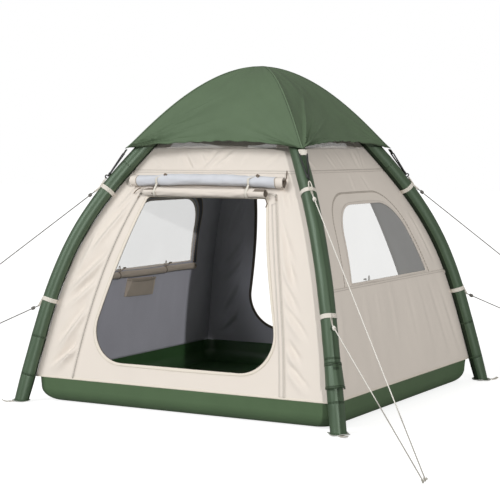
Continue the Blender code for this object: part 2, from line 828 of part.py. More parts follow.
def sweep_mesh(points, radius, sides=8, closed=False):
    bm = bmesh.new()
    count = len(points)
    rings = []
    normal = Vector((0, 1, 0))
    for k, point in enumerate(points):
        before = points[(k - 1) % count] if closed or k else point
        after = points[(k + 1) % count] if closed or k < count - 1 else point
        along = (after - before).normalized()
        normal = (normal - along * normal.dot(along)).normalized()
        side = along.cross(normal)
        ring = []
        for n in range(sides):
            angle = 2 * pi * (n + 0.5) / sides
            ring.append(bm.verts.new(point + (normal * cos(angle) + side * sin(angle)) * radius))
        rings.append(ring)
    skin(bm, rings, caps=not closed)
    if closed:
        bridge(bm, rings[-1], rings[0])
    return bm


def hook_point():
    center = beam_point(station_at_axis(HOOK_HEIGHT))
    return Vector((center[0] + BEAM_RADIUS + HOOK_STAND, 0, HOOK_HEIGHT))


def make_fly_tie(corner):
    frame = diagonal_frame(corner)
    hook = hook_point()
    reach, height = fly_ridge(0.0)
    down = (hook - Vector((reach, 0, height))).normalized()
    inside = FLY_THICKNESS * 4 + GAP * 2
    top = Vector((reach - inside, 0, height - inside))
    out = Vector((-down.z, 0, down.x))
    basis = Matrix((out, Vector((0, 1, 0)), down)).transposed().to_4x4()
    basis.translation = top
    tab = box_mesh((-TAB_THICKNESS / 2, -TAB_WIDTH / 2, 0.0),
                   (TAB_THICKNESS / 2, TAB_WIDTH / 2, TAB_LENGTH))
    tie = add_object("fly_tie_" + corner, tab, "webbing", frame @ basis)
    length = (hook - top).length
    bottom = length - HOOK_RADIUS
    spread = TAB_WIDTH / 2 - 3 * ELASTIC_RADIUS
    bend = 2.4 * ELASTIC_RADIUS
    sewn = TAB_LENGTH - 0.006
    path = [Vector((0, -spread, sewn))]
    for k in range(5):
        angle = pi * k / 4
        path.append(Vector((0, -bend * cos(angle), bottom - bend + bend * sin(angle))))
    path.append(Vector((0, spread, sewn)))
    add_boolean(tie, sweep_mesh(path, ELASTIC_RADIUS), "UNION", frame @ basis)
    ring = []
    for k in range(10):
        angle = HOOK_START + HOOK_SWEEP * k / 9
        out_by = HOOK_RADIUS * (0.8 * sin(angle) + 0.5)
        ring.append(Vector((out_by, 0, bottom + HOOK_RADIUS * (1 - cos(angle)) * 0.8)))
    add_boolean(tie, sweep_mesh(ring, HOOK_WIRE, 6), "UNION", frame @ basis)


# Floor

def rounded_square(bm, half, radius, z, steps=5):
    verts = []
    for turn in range(4):
        spin = Matrix.Rotation(turn * pi / 2, 3, "Z")
        for k in range(steps):
            angle = -pi / 2 + pi / 2 * k / (steps - 1)
            middle = half - radius
            corner = Vector((middle + radius * cos(angle), radius * sin(angle) - middle, z))
            verts.append(bm.verts.new(spin @ corner))
    return verts


def make_tub():
    top = HEM_HEIGHT - GAP
    half = wall_reach_exact(HEM_HEIGHT)
    profile = [(half - TUB_TAPER - TUB_EDGE_RADIUS, 0.0)]
    for k in range(1, 5):
        angle = pi / 2 * k / 4
        profile.append((half - TUB_TAPER - TUB_EDGE_RADIUS * (1 - sin(angle)),
                        TUB_EDGE_RADIUS * (1 - cos(angle))))
    profile.append((half, top))
    bm = bmesh.new()
    outer = [rounded_square(bm, h, TUB_CORNER_RADIUS, z) for h, z in profile]
    inner = []
    for h, z in profile:
        level = z if z == top else z + TUB_THICKNESS
        inner.append(rounded_square(bm, h - TUB_THICKNESS, TUB_CORNER_RADIUS, level))
    skin(bm, outer, caps=False)
    skin(bm, inner, caps=False)
    bridge(bm, outer[-1], inner[-1])
    bm.faces.new(outer[0])
    bm.faces.new(list(reversed(inner[0])))
    add_object("floor_tub", bm, "floor_sheet")


# Rolls

def roll_section(radius):
    steps = int(ROLL_STEPS_A_TURN * ROLL_TURNS)
    outside, inside = [], []
    for k in range(steps + 1):
        turn = ROLL_TURNS * k / steps
        angle = 2 * pi * turn
        r = radius - ROLL_PITCH * (ROLL_TURNS - turn)
        outside.append((r * cos(angle), r * sin(angle)))
        inside.append(((r - ROLL_SHEET) * cos(angle), (r - ROLL_SHEET) * sin(angle)))
    return outside + list(reversed(inside))


def roll_center(height, radius, outward):
    # The roll lies against the wall: height is its centre's own height
    foot = height
    for _ in range(30):
        slope = wall_slope(foot)
        normal = np.array([1.0, -slope]) / hypot(1.0, slope)
        stand = radius + ROLL_STAND_OFF if outward else -(radius + ROLL_STAND_OFF + WALL_THICKNESS)
        foot = height - normal[1] * stand
    return wall_reach(foot) + normal[0] * stand


def make_roll(name, side, measures, material, outward=True):
    half_length, radius, height = measures
    reach = roll_center(height, radius, outward)
    place = side_frame(side)
    bm = bmesh.new()
    section = roll_section(radius)
    rings = []
    for share in (-1.0, 0.0, 1.0):
        x = half_length * share
        rings.append([bm.verts.new((x, -reach + a, height + b)) for a, b in section])
    skin(bm, rings)
    roll = add_object(name, bm, material, place)
    for x in ROLL_TIE_PLACES:
        add_boolean(roll, tie_ring(x, reach, height, radius), "UNION", place)
        add_boolean(roll, toggle(x, reach, height, radius, outward), "UNION", place)


def tie_ring(x, reach, height, radius):
    bm = bmesh.new()
    walls = []
    for r in (radius + ROLL_TIE_THICKNESS, radius - ROLL_SHEET / 2):
        rings = []
        for offset in (-ROLL_TIE_WIDTH / 2, ROLL_TIE_WIDTH / 2):
            ring = []
            for k in range(ROLL_TIE_SIDES):
                angle = 2 * pi * (k + 0.3) / ROLL_TIE_SIDES
                co = (x + offset, r * cos(angle) - reach, height + r * sin(angle))
                ring.append(bm.verts.new(co))
            rings.append(ring)
        walls.append(rings)
    shell(bm, *walls)
    return bm


def toggle(x, reach, height, radius, outward):
    side = -1 if outward else 1
    out = radius + ROLL_TIE_THICKNESS + TOGGLE_RADIUS * 0.4
    center = Vector((x, side * out * cos(TOGGLE_ANGLE) - reach, height + out * sin(TOGGLE_ANGLE)))
    bm = bmesh.new()
    where = Matrix.Translation(center) @ Matrix.Rotation(radians(90), 4, "Y")
    bmesh.ops.create_cone(bm, cap_ends=True, segments=8, radius1=TOGGLE_RADIUS,
                          radius2=TOGGLE_RADIUS, depth=TOGGLE_LENGTH, matrix=where)
    return bm


# Guy lines

def guy_points(corner, level):
    start = guy_start(level)
    ground = Vector((GUY_GROUND_REACH, 0, GUY_GROUND_HEIGHT))
    along = (ground - start).normalized()
    reach = GUY_END_REACH[corner]
    end = start + along * ((reach - start.x) / along.x)
    if corner == "front_right":
        shift = GUY_SPACING / 2 if level == "upper" else -GUY_SPACING / 2
        end.y = shift
    frame = diagonal_frame(corner)
    return frame @ start, frame @ end


def make_guy(corner, level):
    start, end = guy_points(corner, level)
    curve = bpy.data.curves.new("guy_line_%s_%s" % (level, corner), "CURVE")
    curve.dimensions = "3D"
    curve.bevel_depth = GUY_DIAMETER / 2
    curve.bevel_resolution = 2
    curve.use_fill_caps = True
    spline = curve.splines.new("POLY")
    count = 8
    spline.points.add(count - 1)
    for k in range(count):
        spline.points[k].co = (*start.lerp(end, k / (count - 1)), 1.0)
    curve.materials.append(get_material("guy_cord"))
    obj = bpy.data.objects.new(curve.name, curve)
    bpy.context.scene.collection.objects.link(obj)


def make_runner(corner, level):
    start, end = guy_points(corner, level)
    along = (end - start).normalized()
    turn = along.to_track_quat("Z", "Y").to_matrix().to_4x4()
    turn.translation = start + along * (RUNNER_PLACE + RUNNER_LENGTH / 2)
    profile = ((0.0, 1.0), (0.18, 1.0), (0.32, 0.78), (0.68, 0.78), (0.82, 1.0), (1.0, 1.0))
    bm = bmesh.new()
    outer = [circle(bm, RUNNER_RADIUS * w, (share - 0.5) * RUNNER_LENGTH) for share, w in profile]
    inner = [circle(bm, RUNNER_BORE, z) for z in (-RUNNER_LENGTH / 2, RUNNER_LENGTH / 2)]
    shell(bm, outer, inner)
    add_object("guy_runner_%s_%s" % (level, corner), bm, "hard_plastic", turn)


def circle(bm, radius, z, sides=10):
    angles = [2 * pi * k / sides for k in range(sides)]
    return [bm.verts.new((radius * cos(a), radius * sin(a), z)) for a in angles]


# Valve

def valve_frame():
    frame = diagonal_frame("front_right") @ chord_frame(VALVE_HEIGHT)
    return frame @ Matrix.Rotation(pi / 2, 4, "Y")


def turned(profile, sides=16):
    bm = bmesh.new()
    rings = [circle(bm, r, z, sides) for r, z in profile]
    skin(bm, rings)
    return bm


def make_valve():
    place = valve_frame()
    base = BEAM_FLAT - 0.006
    face = BEAM_FLAT + VALVE_STAND
    body = turned(((VALVE_RADIUS, base), (VALVE_RADIUS, BEAM_FLAT + 0.003),
                   (CAP_RADIUS, BEAM_FLAT + 0.0038), (CAP_RADIUS, face)))
    valve = add_object("valve_body", body, "hard_plastic", place)
    bm = bmesh.new()
    rings = [prism_ring(bm, BEAM_RADIUS + GAP, z) for z in (-0.06, 0.06)]
    skin(bm, rings)
    frame = diagonal_frame("front_right") @ chord_frame(VALVE_HEIGHT)
    add_boolean(valve, bm, "DIFFERENCE", frame)
    low, high = face + GAP, face + GAP + CAP_THICKNESS
    cap = turned(((CAP_RADIUS, low), (CAP_RADIUS, high - 0.0015), (CAP_RADIUS - 0.0015, high)))
    cap_object = add_object("valve_cap", cap, "hard_plastic", place)
    grip = box_mesh((-0.0018, -CAP_RADIUS * 0.8, high - 0.001),
                    (0.0018, CAP_RADIUS * 0.8, high + 0.002))
    add_boolean(cap_object, grip, "UNION", place)


def make_flap():
    # A skirt round the outer side of the beam: snug at its top edge, flaring over the valve
    frame = diagonal_frame("front_right")
    bm = bmesh.new()
    walls = []
    for skin_depth in (FLAP_THICKNESS, 0.0):
        rings = []
        for share in (0.0, 0.25, 0.55, 1.0):
            height = FLAP_TOP + (FLAP_BOTTOM - FLAP_TOP) * share
            place = chord_frame(height)
            spread = BEAM_RADIUS + GAP * 2 + FLAP_FLARE * share ** 0.8 * 0.25 + skin_depth
            push = FLAP_FLARE * share ** 0.6 * 0.75
            ring = []
            for k in range(FLAP_SIDES + 1):
                angle = -FLAP_WRAP + 2 * FLAP_WRAP * k / FLAP_SIDES
                out = push * max(0.0, cos(angle)) + spread * cos(angle)
                ring.append(bm.verts.new(place @ Vector((out, spread * sin(angle), 0))))
            rings.append(ring)
        walls.append(rings)
    for rings in walls:
        grid_faces(bm, rings)
    bridge(bm, *[grid_rim(rings) for rings in walls])
    add_object("valve_flap", bm, "beam_sleeve", frame)


def grid_rim(rows):
    right = [row[-1] for row in rows[1:]]
    left = [row[0] for row in rows[-2:0:-1]]
    return rows[0] + right + rows[-1][-2::-1] + left


def grid_faces(bm, rows):
    for first, second in zip(rows, rows[1:]):
        for k in range(len(first) - 1):
            bm.faces.new((first[k], first[k + 1], second[k + 1], second[k]))


# Small fittings

def make_slider(name, side, sign):
    slope = wall_slope(ZIP_TOP_HEIGHT)
    face = wall_reach(ZIP_TOP_HEIGHT)
    up = Vector((-sign * tan(ZIP_TOP_LEAN), -slope, 1.0)).normalized()
    out = Vector((0, -1, -slope)).normalized()
    across = up.cross(out).normalized()
    out = across.cross(up).normalized()
    basis = Matrix((across, out, up)).transposed().to_4x4()
    basis.translation = Vector((sign * zip_half_width(ZIP_TOP_HEIGHT), -face, ZIP_TOP_HEIGHT))
    rest = 2 * GAP + 0.001
    body = box_mesh((-SLIDER_WIDTH / 2, rest, -SLIDER_LENGTH / 2),
                    (SLIDER_WIDTH / 2, rest + SLIDER_THICKNESS, SLIDER_LENGTH / 2), 0.001)
    slider = add_object(name, body, "zip_metal", side_frame(side) @ basis)
    pull = box_mesh((-0.003, rest + SLIDER_THICKNESS * 0.5, -PULL_LENGTH),
                    (0.003, rest + SLIDER_THICKNESS * 0.5 + 0.0025, 0.0))
    add_boolean(slider, pull, "UNION", side_frame(side) @ basis)


def make_pocket():
    def face(z):
        return wall_reach_exact(z) - WALL_THICKNESS - POCKET_STAND

    half = POCKET_HALF_WIDTH
    front = face(POCKET_TOP) - POCKET_DEPTH
    bm = bmesh.new()
    lower, upper = POCKET_BOTTOM, POCKET_TOP
    foot = face(lower)
    lip_foot = foot - POCKET_FOOT_DEPTH

    def section(bm, z, inset):
        share = (z - lower) / (upper - lower)
        back = foot + (face(upper) - foot) * share - inset
        lip = lip_foot + (front - lip_foot) * share + inset
        left = POCKET_FRONT_SHIFT - half + inset
        right = POCKET_FRONT_SHIFT + half - inset
        loop = [(left, back), (right, back), (right, lip), (left, lip)]
        return [bm.verts.new((x, -y, z)) for x, y in loop]

    skin(bm, [section(bm, lower, 0.0), section(bm, upper, 0.0)])
    pocket = add_object("storage_pocket", bm, "blind_cloth", side_frame("left"))
    hollow = bmesh.new()
    margin = POCKET_FOOT_DEPTH
    skin(hollow, [section(hollow, lower + margin, POCKET_SHEET),
                  section(hollow, upper + margin, POCKET_SHEET)])
    add_boolean(pocket, hollow, "DIFFERENCE", side_frame("left"))


def main():
    clear_scene()
    make_bladder()
    make_crown_sleeve()
    for corner in CORNERS:
        make_leg_sleeve(corner)
        make_foot_patch(corner)
        for level in BAND_HEIGHTS:
            make_band(corner, level)
        make_fly_tie(corner)
    for corner in GUY_END_REACH:
        for level in BAND_HEIGHTS:
            make_guy(corner, level)
            make_runner(corner, level)
    make_tub()
    make_wall("front", door_outline(), door_fold)
    make_wall("back", door_outline(), door_fold)
    make_wall("left", window_outline("left"), pocket_wall_fold)
    make_wall("right", window_outline("right"), window_fold)
    make_roof()
    make_fly()
    door_height = DOOR_TOP + DOOR_ROLL_RISE
    mesh_height = door_height + MESH_ROLL_RISE
    mesh_half = wall_reach(mesh_height) - MESH_ROLL_CORNER_GAP
    mesh_roll = (mesh_half, MESH_ROLL_RADIUS, mesh_height)
    door_roll = (DOOR_TOP_HALF_WIDTH + DOOR_ROLL_OVERLAP, DOOR_ROLL_RADIUS, door_height)
    blind_half = WINDOW_BOTTOM_HALF_WIDTH + BLIND_ROLL_OVERLAP
    blind_roll = (blind_half, BLIND_ROLL_RADIUS, WINDOW_BOTTOM - BLIND_ROLL_DROP)
    for side in ("front", "back"):
        make_roll("mesh_roll_" + side, side, mesh_roll, "mesh_roll")
        make_roll("door_roll_" + side, side, door_roll, "wall_cloth")
        make_slider("zip_slider_%s_left" % side, side, -1)
        make_slider("zip_slider_%s_right" % side, side, 1)
    for side in ("left", "right"):
        make_pane(side)
        make_roll("blind_roll_" + side, side, blind_roll, "blind_cloth", outward=False)
    make_pocket()
    make_valve()
    make_flap()


main()
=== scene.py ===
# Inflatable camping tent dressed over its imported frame. Metres, Z up, the front door faces -Y.
import bisect
import bmesh
import bpy
from math import atan2, cos, exp, hypot, pi, radians, sin, sqrt, tan
from mathutils import Matrix, Vector, noise


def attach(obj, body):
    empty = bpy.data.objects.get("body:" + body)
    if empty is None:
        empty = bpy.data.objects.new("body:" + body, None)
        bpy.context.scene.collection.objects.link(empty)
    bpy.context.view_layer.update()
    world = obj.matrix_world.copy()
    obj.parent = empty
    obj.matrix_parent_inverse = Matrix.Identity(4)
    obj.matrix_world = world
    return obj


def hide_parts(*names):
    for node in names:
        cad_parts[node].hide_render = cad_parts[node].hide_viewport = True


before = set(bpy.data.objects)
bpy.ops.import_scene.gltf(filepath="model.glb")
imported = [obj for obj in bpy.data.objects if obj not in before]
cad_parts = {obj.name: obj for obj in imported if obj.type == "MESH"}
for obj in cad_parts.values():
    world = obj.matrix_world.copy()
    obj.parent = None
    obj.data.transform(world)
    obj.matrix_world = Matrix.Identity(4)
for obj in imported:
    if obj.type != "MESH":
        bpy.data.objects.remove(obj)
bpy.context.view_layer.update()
print("frame loaded:", len(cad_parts), "nodes")

# handles are shares of each curve's chord: foot, below the shoulder, above it, crown
beam = {"footReach": 1.485, "shoulderReach": 0.735, "shoulderHeight": 1.5, "crownHeight": 1.94,
        "footLean": radians(15.8), "shoulderLean": radians(43.75), "handles": (0.473, 0.423, 0.26, 0.36),
        "radius": 0.044, "standOff": 0.04465, "tableSteps": 600}
cabin = {"hem": 0.1455, "seam": 1.364, "eave": 1.5, "thickness": 0.0026, "gap": 0.0004}
corners = {"front_left": (-1, -1), "front_right": (1, -1), "back_right": (1, 1), "back_left": (-1, 1)}
sides = {"front": 0, "right": 1, "back": 2, "left": 3}


# Shape of the frame

def smoothStep(value, low, high):
    share = min(1.0, max(0.0, (value - low) / (high - low)))
    return share * share * (3 - 2 * share)


def mixed(a, b, share):
    return a + (b - a) * share


def spotsOf(count, place, closed=False):
    # points along a line whose place is given by a share from 0 to 1
    return [place(k / count) for k in range(count if closed else count + 1)]


def curveSpot(points, t):
    a, b, c, d = points
    return a * (1 - t) ** 3 + b * 3 * t * (1 - t) ** 2 + c * 3 * t * t * (1 - t) + d * t ** 3


def beamCurves():
    start = Vector((beam["footReach"], 0.0))
    shoulder = Vector((beam["shoulderReach"], beam["shoulderHeight"]))
    crown = Vector((0.0, beam["crownHeight"]))
    upStart = Vector((-sin(beam["footLean"]), cos(beam["footLean"])))
    upShoulder = Vector((-sin(beam["shoulderLean"]), cos(beam["shoulderLean"])))
    lower, upper = (shoulder - start).length, (crown - shoulder).length
    one, two, three, four = beam["handles"]
    leg = (start, start + upStart * lower * one, shoulder - upShoulder * lower * two, shoulder)
    top = (shoulder, shoulder + upShoulder * upper * three, crown + Vector((upper * four, 0.0)), crown)
    return leg, top


legCurve, topCurve = beamCurves()


def beamSpot(t):  # t runs from 0 at the foot over 1 at the shoulder to 2 at the crown
    return curveSpot(legCurve, t) if t <= 1 else curveSpot(topCurve, t - 1)


def beamOut(t, aside=0.004):
    ahead = beamSpot(min(2.0, t + aside)) - beamSpot(max(0.0, t - aside))
    return Vector((ahead.y, -ahead.x)).normalized()


stationTable = spotsOf(beam["tableSteps"], lambda share: 2.0 * share)
beamHeights = [beamSpot(t).y for t in stationTable]
innerSpots = [beamSpot(t) - beamOut(t) * beam["standOff"] for t in stationTable]
innerHeights = [spot.y for spot in innerSpots]


def lookUp(keys, values, key):
    k = min(len(keys) - 1, max(1, bisect.bisect_left(keys, key)))
    share = (key - keys[k - 1]) / (keys[k] - keys[k - 1])
    return mixed(values[k - 1], values[k], share)


def stationAt(height):
    return lookUp(beamHeights, stationTable, height)


wallHeights = [0.01 * k for k in range(189)]
innerReaches = [spot.x for spot in innerSpots]
wallHalves = [lookUp(innerHeights, innerReaches, z) / sqrt(2) - cabin["gap"] for z in wallHeights]


def wallHalf(z):  # how far a wall stands from the middle, and half its width, at a height
    return lookUp(wallHeights, wallHalves, z)


def wallSlope(z):
    return (wallHalf(z + 0.01) - wallHalf(z - 0.01)) / 0.02


def sideTurn(side):
    return Matrix.Rotation(sides[side] * pi / 2, 4, "Z")


def cornerTurn(corner):
    sx, sy = corners[corner]
    return Matrix.Rotation(atan2(sy, sx), 4, "Z")


def axesAt(spot, x, y, z):
    place = Matrix((x, y, z)).transposed().to_4x4()
    place.translation = spot
    return place


def beamFrame(t):  # X outward, Y across, Z along the beam, in the corner's own plane
    spot, out = beamSpot(t), beamOut(t)
    xAxis, zAxis = Vector((out.x, 0, out.y)), Vector((-out.y, 0, out.x))
    return axesAt(Vector((spot.x, 0, spot.y)), xAxis, zAxis.cross(xAxis), zAxis)


def pointedAlong(along, spot):  # Z along a line, at a spot
    place = along.to_track_quat("Z", "Y").to_matrix().to_4x4()
    place.translation = spot
    return place


# Finishes

def feed(tree, node, inputs):
    # an input gets a plain value, or the socket that drives it
    for key, value in inputs.items():
        if isinstance(value, bpy.types.NodeSocket):
            tree.links.new(value, node.inputs[key])
        else:
            node.inputs[key].default_value = value


def addNode(tree, kind, inputs=None, **settings):
    node = tree.nodes.new("ShaderNode" + kind)
    for key, value in settings.items():
        setattr(node, key, value)
    feed(tree, node, inputs or {})
    return node


def mathNode(tree, operation, *values):
    return addNode(tree, "Math", dict(enumerate(values)), operation=operation).outputs[0]


def mixNode(tree, share, one, other):
    return addNode(tree, "Mix", {"Factor": share, "A": one, "B": other}, data_type="RGBA").outputs["Result"]


def bumpNode(tree, height, strength, distance, under=None, invert=False):
    inputs = {"Height": height, "Strength": strength, "Distance": distance}
    if under:
        inputs["Normal"] = under
    return addNode(tree, "Bump", inputs, invert=invert).outputs["Normal"]


def noiseNode(tree, where, scale, detail=2.0, roughness=0.5):
    inputs = {"Vector": where, "Scale": scale, "Detail": detail, "Roughness": roughness}
    return addNode(tree, "TexNoise", inputs).outputs["Fac"]


def newFinish(name, values):
    # gives the material, its nodes, its shader and the coordinates for its patterns
    material = bpy.data.materials.new(name)
    material.use_nodes = True
    tree = material.node_tree
    shader = tree.nodes["Principled BSDF"]
    feed(tree, shader, values)
    return material, tree, shader, addNode(tree, "TexCoord").outputs


def shade(color, factor=1.0):
    return tuple(min(1.0, c * factor) for c in color) + (1.0,)


def rampNode(tree, share, colors, places=(0.0, 1.0)):
    ramp = addNode(tree, "ValToRGB", {"Fac": share})
    for element, color, place in zip(ramp.color_ramp.elements, colors, places):
        element.position = place
        element.color = color
    return ramp.outputs["Color"]


def mottled(tree, where, color, spread, scale):
    # dye and pigment take unevenly
    drift = noiseNode(tree, where, scale, 3.0, 0.6)
    return rampNode(tree, drift, (shade(color, 1 - spread), shade(color, 1 + spread)), (0.3, 0.7))


bandPeriod = 0.314  # length of one band of a wave at a scale of 1


def wovenCloth(name, color, roughness=0.85, pitch=0.0012, depth=0.0002, spread=0.05, sheen=0.0, scale=4.0,
               specular=0.3):
    # plain weave: warp crossed with weft, over slubs in the yarn; without depth it is a smooth coated cloth
    material, tree, shader, coords = newFinish(name, {"Roughness": roughness, "Sheen Weight": sheen,
                                                      "Specular IOR Level": specular})
    feed(tree, shader, {"Base Color": mottled(tree, coords["Object"], color, spread, scale)})
    if depth:
        wave = {"Vector": coords["UV"], "Scale": bandPeriod / pitch, "Distortion": 0.6, "Detail": 1.0}
        warp, weft = (addNode(tree, "TexWave", wave, bands_direction=way).outputs["Fac"] for way in "XY")
        slubs = bumpNode(tree, noiseNode(tree, coords["UV"], 160.0), 0.12, depth * 2)
        weave = bumpNode(tree, mathNode(tree, "MULTIPLY", warp, weft), 0.35, depth, under=slubs)
        feed(tree, shader, {"Normal": weave})
    return material


def stitchedCloth(name, color, threadColor, rows=(0.22, 0.78), stitch=0.0055, roughness=0.8,
                  threadWidth=0.07):
    # a sewn tape: rows of lockstitch along U, which is metres along the seam; V crosses it from 0 to 1
    material, tree, shader, coords = newFinish(name, {"Roughness": roughness, "Specular IOR Level": 0.3})
    split = addNode(tree, "SeparateXYZ", {0: coords["UV"]})
    along, across = split.outputs["X"], split.outputs["Y"]
    part = mathNode(tree, "FRACT", mathNode(tree, "MULTIPLY", along, 1.0 / stitch))
    lines = mathNode(tree, "COMPARE", across, rows[0], threadWidth)
    for row in rows[1:]:
        lines = mathNode(tree, "MAXIMUM", lines, mathNode(tree, "COMPARE", across, row, threadWidth))
    thread = mathNode(tree, "MULTIPLY", lines, mathNode(tree, "LESS_THAN", part, 0.68))
    ground = mixNode(tree, noiseNode(tree, coords["Object"], 14.0, 3.0), shade(color, 0.95),
                     shade(color, 1.04))
    feed(tree, shader, {"Base Color": mixNode(tree, thread, ground, shade(threadColor)),
                        "Normal": bumpNode(tree, lines, 0.6, 0.0006, invert=True)})
    return material


def partlyClear(material, tree, shader, cover):
    clear = addNode(tree, "BsdfTransparent").outputs[0]
    mix = addNode(tree, "MixShader", {"Fac": cover, 1: clear, 2: shader.outputs[0]})
    feed(tree, tree.nodes["Material Output"], {"Surface": mix.outputs[0]})
    return material


def clearFilm(name, color, haze):
    material, tree, shader, coords = newFinish(name, {"Base Color": shade(color), "Roughness": 0.22})
    ripple = noiseNode(tree, coords["Object"], 5.0)
    cover = addNode(tree, "MapRange", {"Value": ripple, "To Min": haze - 0.03, "To Max": haze + 0.03})
    feed(tree, shader, {"Normal": bumpNode(tree, ripple, 0.15, 0.01)})
    return partlyClear(material, tree, shader, cover.outputs["Result"])


def fineNet(name, color, cover, pitch=0.0018):
    # knitted mesh: thread cover varies over each cell, the rest is open
    material, tree, shader, coords = newFinish(name, {"Base Color": shade(color), "Roughness": 0.9})
    cells = addNode(tree, "TexVoronoi", {"Vector": coords["UV"], "Scale": 1.0 / pitch},
                    feature="DISTANCE_TO_EDGE")
    thread = addNode(tree, "MapRange", {"Value": cells.outputs["Distance"], "From Min": 0.0, "From Max": 0.35,
                                        "To Min": cover + 0.3, "To Max": cover - 0.3})
    return partlyClear(material, tree, shader, thread.outputs["Result"])


def plainSolid(name, color, roughness=0.5, metallic=0.0, grain=60.0):
    # moulded plastic, rubber or metal with a fine grain
    material, tree, shader, coords = newFinish(name, {"Roughness": roughness, "Metallic": metallic})
    fine = noiseNode(tree, coords["Object"], grain * 12)
    feed(tree, shader, {"Base Color": mottled(tree, coords["Object"], color, 0.06, grain),
                        "Normal": bumpNode(tree, fine, 0.25, 0.0003)})
    return material


def braidedCord(name, color, pitch=0.006, ground=None):
    # slanting strands; a ground colour greys the stretch near the ground
    material, tree, shader, coords = newFinish(name, {"Roughness": 0.75})
    wave = addNode(tree, "TexWave",
                   {"Vector": coords["Object"], "Scale": bandPeriod / pitch, "Distortion": 0.0},
                   bands_direction="DIAGONAL").outputs["Fac"]
    base = rampNode(tree, wave, (shade(color, 0.82), shade(color, 1.08)))
    if ground:
        height = addNode(tree, "SeparateXYZ", {0: coords["Object"]}).outputs["Z"]
        low = addNode(tree, "MapRange", {"Value": height, "From Min": 0.25, "From Max": 0.31, "To Min": 1.0,
                                         "To Max": 0.0})
        base = mixNode(tree, low.outputs["Result"], base, shade(ground))
    feed(tree, shader, {"Base Color": base, "Normal": bumpNode(tree, wave, 0.5, 0.0005)})
    return material


dye = {"sleeve": (0.042, 0.072, 0.037), "canopy": (0.106, 0.154, 0.091), "canopyUnder": (0.07, 0.10, 0.06),
       "sand": (0.735, 0.668, 0.600), "lining": (0.45, 0.445, 0.50), "tub": (0.083, 0.134, 0.068),
       "floor": (0.032, 0.078, 0.028), "cream": (0.68, 0.64, 0.57), "darkWeb": (0.035, 0.040, 0.030),
       "taupe": (0.42, 0.357, 0.295), "meshRoll": (0.60, 0.612, 0.650), "core": (0.20, 0.165, 0.135),
       "strap": (0.17, 0.14, 0.11), "binding": (0.74, 0.675, 0.585), "bindingThread": (0.50, 0.44, 0.36),
       "archThreadGrooveShade": (0.27, 0.22, 0.17), "edge": (0.075, 0.062, 0.05), "edgeThread": (0.20, 0.16, 0.12),
       "liningThread": (0.62, 0.48, 0.30), "coil": (0.20, 0.18, 0.155), "coilTeeth": (0.42, 0.38, 0.33),
       "litZipCoil": (0.40, 0.36, 0.31), "paleTeeth": (0.56, 0.51, 0.45), "film": (0.66, 0.655, 0.64),
       "roofNet": (0.76, 0.69, 0.62), "guy": (0.18, 0.17, 0.155), "paleGuy": (0.82, 0.785, 0.72),
       "groundGuy": (0.38, 0.36, 0.32), "knot": (0.46, 0.44, 0.39), "brownTie": (0.20, 0.155, 0.115),
       "elastic": (0.018, 0.018, 0.018), "toggle": (0.16, 0.12, 0.085), "footPad": (0.52, 0.53, 0.49),
       "valve": (0.035, 0.045, 0.035), "eyelet": (0.62, 0.60, 0.55), "zipMetal": (0.50, 0.47, 0.42),
       "bladder": (0.62, 0.64, 0.62), "sleeveGloss": (0.84, 1.0, 0.84)}


def tone(name, factor=1.0):
    return shade(dye[name], factor)[:3]


sleeveCloth = wovenCloth("greenSleeveCloth", dye["sleeve"], roughness=0.47, depth=0, scale=5.0, specular=0.85)
sleeveShader = sleeveCloth.node_tree.nodes["Principled BSDF"]
sleeveShader.inputs["Specular Tint"].default_value = shade(dye["sleeveGloss"])
# painted shade: a darker copy of the sleeve cloth for the side that lies in the walls' shade
sleeveShadeCloth = wovenCloth("paintedShadeSleeveCloth", tone("sleeve", 0.42), roughness=0.7, depth=0, scale=5.0,
                         specular=0.2)
canopyCloth = wovenCloth("greenCanopyCloth", dye["canopy"], roughness=0.62, pitch=0.0009, depth=0.00015,
                         specular=0.16)
canopyUnder = wovenCloth("canopyBacking", dye["canopyUnder"], roughness=0.6, pitch=0.0009, depth=0.00015,
                         spread=0.04, scale=3.0)
sandCanvas = wovenCloth("sandCanvas", dye["sand"], roughness=0.86, spread=0.018, sheen=0.12, scale=2.2)
darkLining = wovenCloth("graphiteLining", dye["lining"], roughness=0.62, pitch=0.0011, sheen=0.05, scale=2.5,
                        specular=0.35)
tubCloth = wovenCloth("greenTubCloth", dye["tub"], roughness=0.52, pitch=0.0010, specular=0.22)
floorCloth = wovenCloth("glossyFloorCloth", dye["floor"], roughness=0.30, pitch=0.0010, spread=0.12,
                        specular=0.5)
creamWebbing = wovenCloth("creamWebbing", dye["cream"], pitch=0.0024, depth=0.0006, spread=0.03, sheen=0.1,
                          scale=20.0)
darkWebbing = wovenCloth("darkWebbing", dye["darkWeb"], roughness=0.8, pitch=0.0024, depth=0.0004,
                         spread=0.03, scale=20.0)
taupeCloth = wovenCloth("taupeCloth", dye["taupe"], sheen=0.1, scale=6.0)
rolledNet = wovenCloth("rolledNet", dye["meshRoll"], roughness=0.75, pitch=0.0014, depth=0.0003, sheen=0.2,
                       scale=9.0)
# painted shade: a dark cloth for the shaded inside of the rolls
rollShadeCloth = wovenCloth("rollShadeCloth", dye["core"], roughness=0.9, pitch=0.0014, depth=0.0003, sheen=0.1,
                      scale=9.0)
brownStrap = wovenCloth("brownStrap", dye["strap"], pitch=0.0018, depth=0.0003, sheen=0.1, scale=12.0)
sandTape = stitchedCloth("sandSeamTape", tone("sand", 0.97), tone("sand", 0.62))
sandBinding = stitchedCloth("creamBinding", dye["binding"], dye["bindingThread"], rows=(0.16,),
                            threadWidth=0.035)
taupeTape = stitchedCloth("taupeTape", tone("taupe", 0.9), tone("taupe", 0.5), rows=(0.3, 0.8))
windowBinding = stitchedCloth("windowBinding", tone("sand", 0.93), tone("sand", 0.62), rows=(0.12,),
                              threadWidth=0.04)
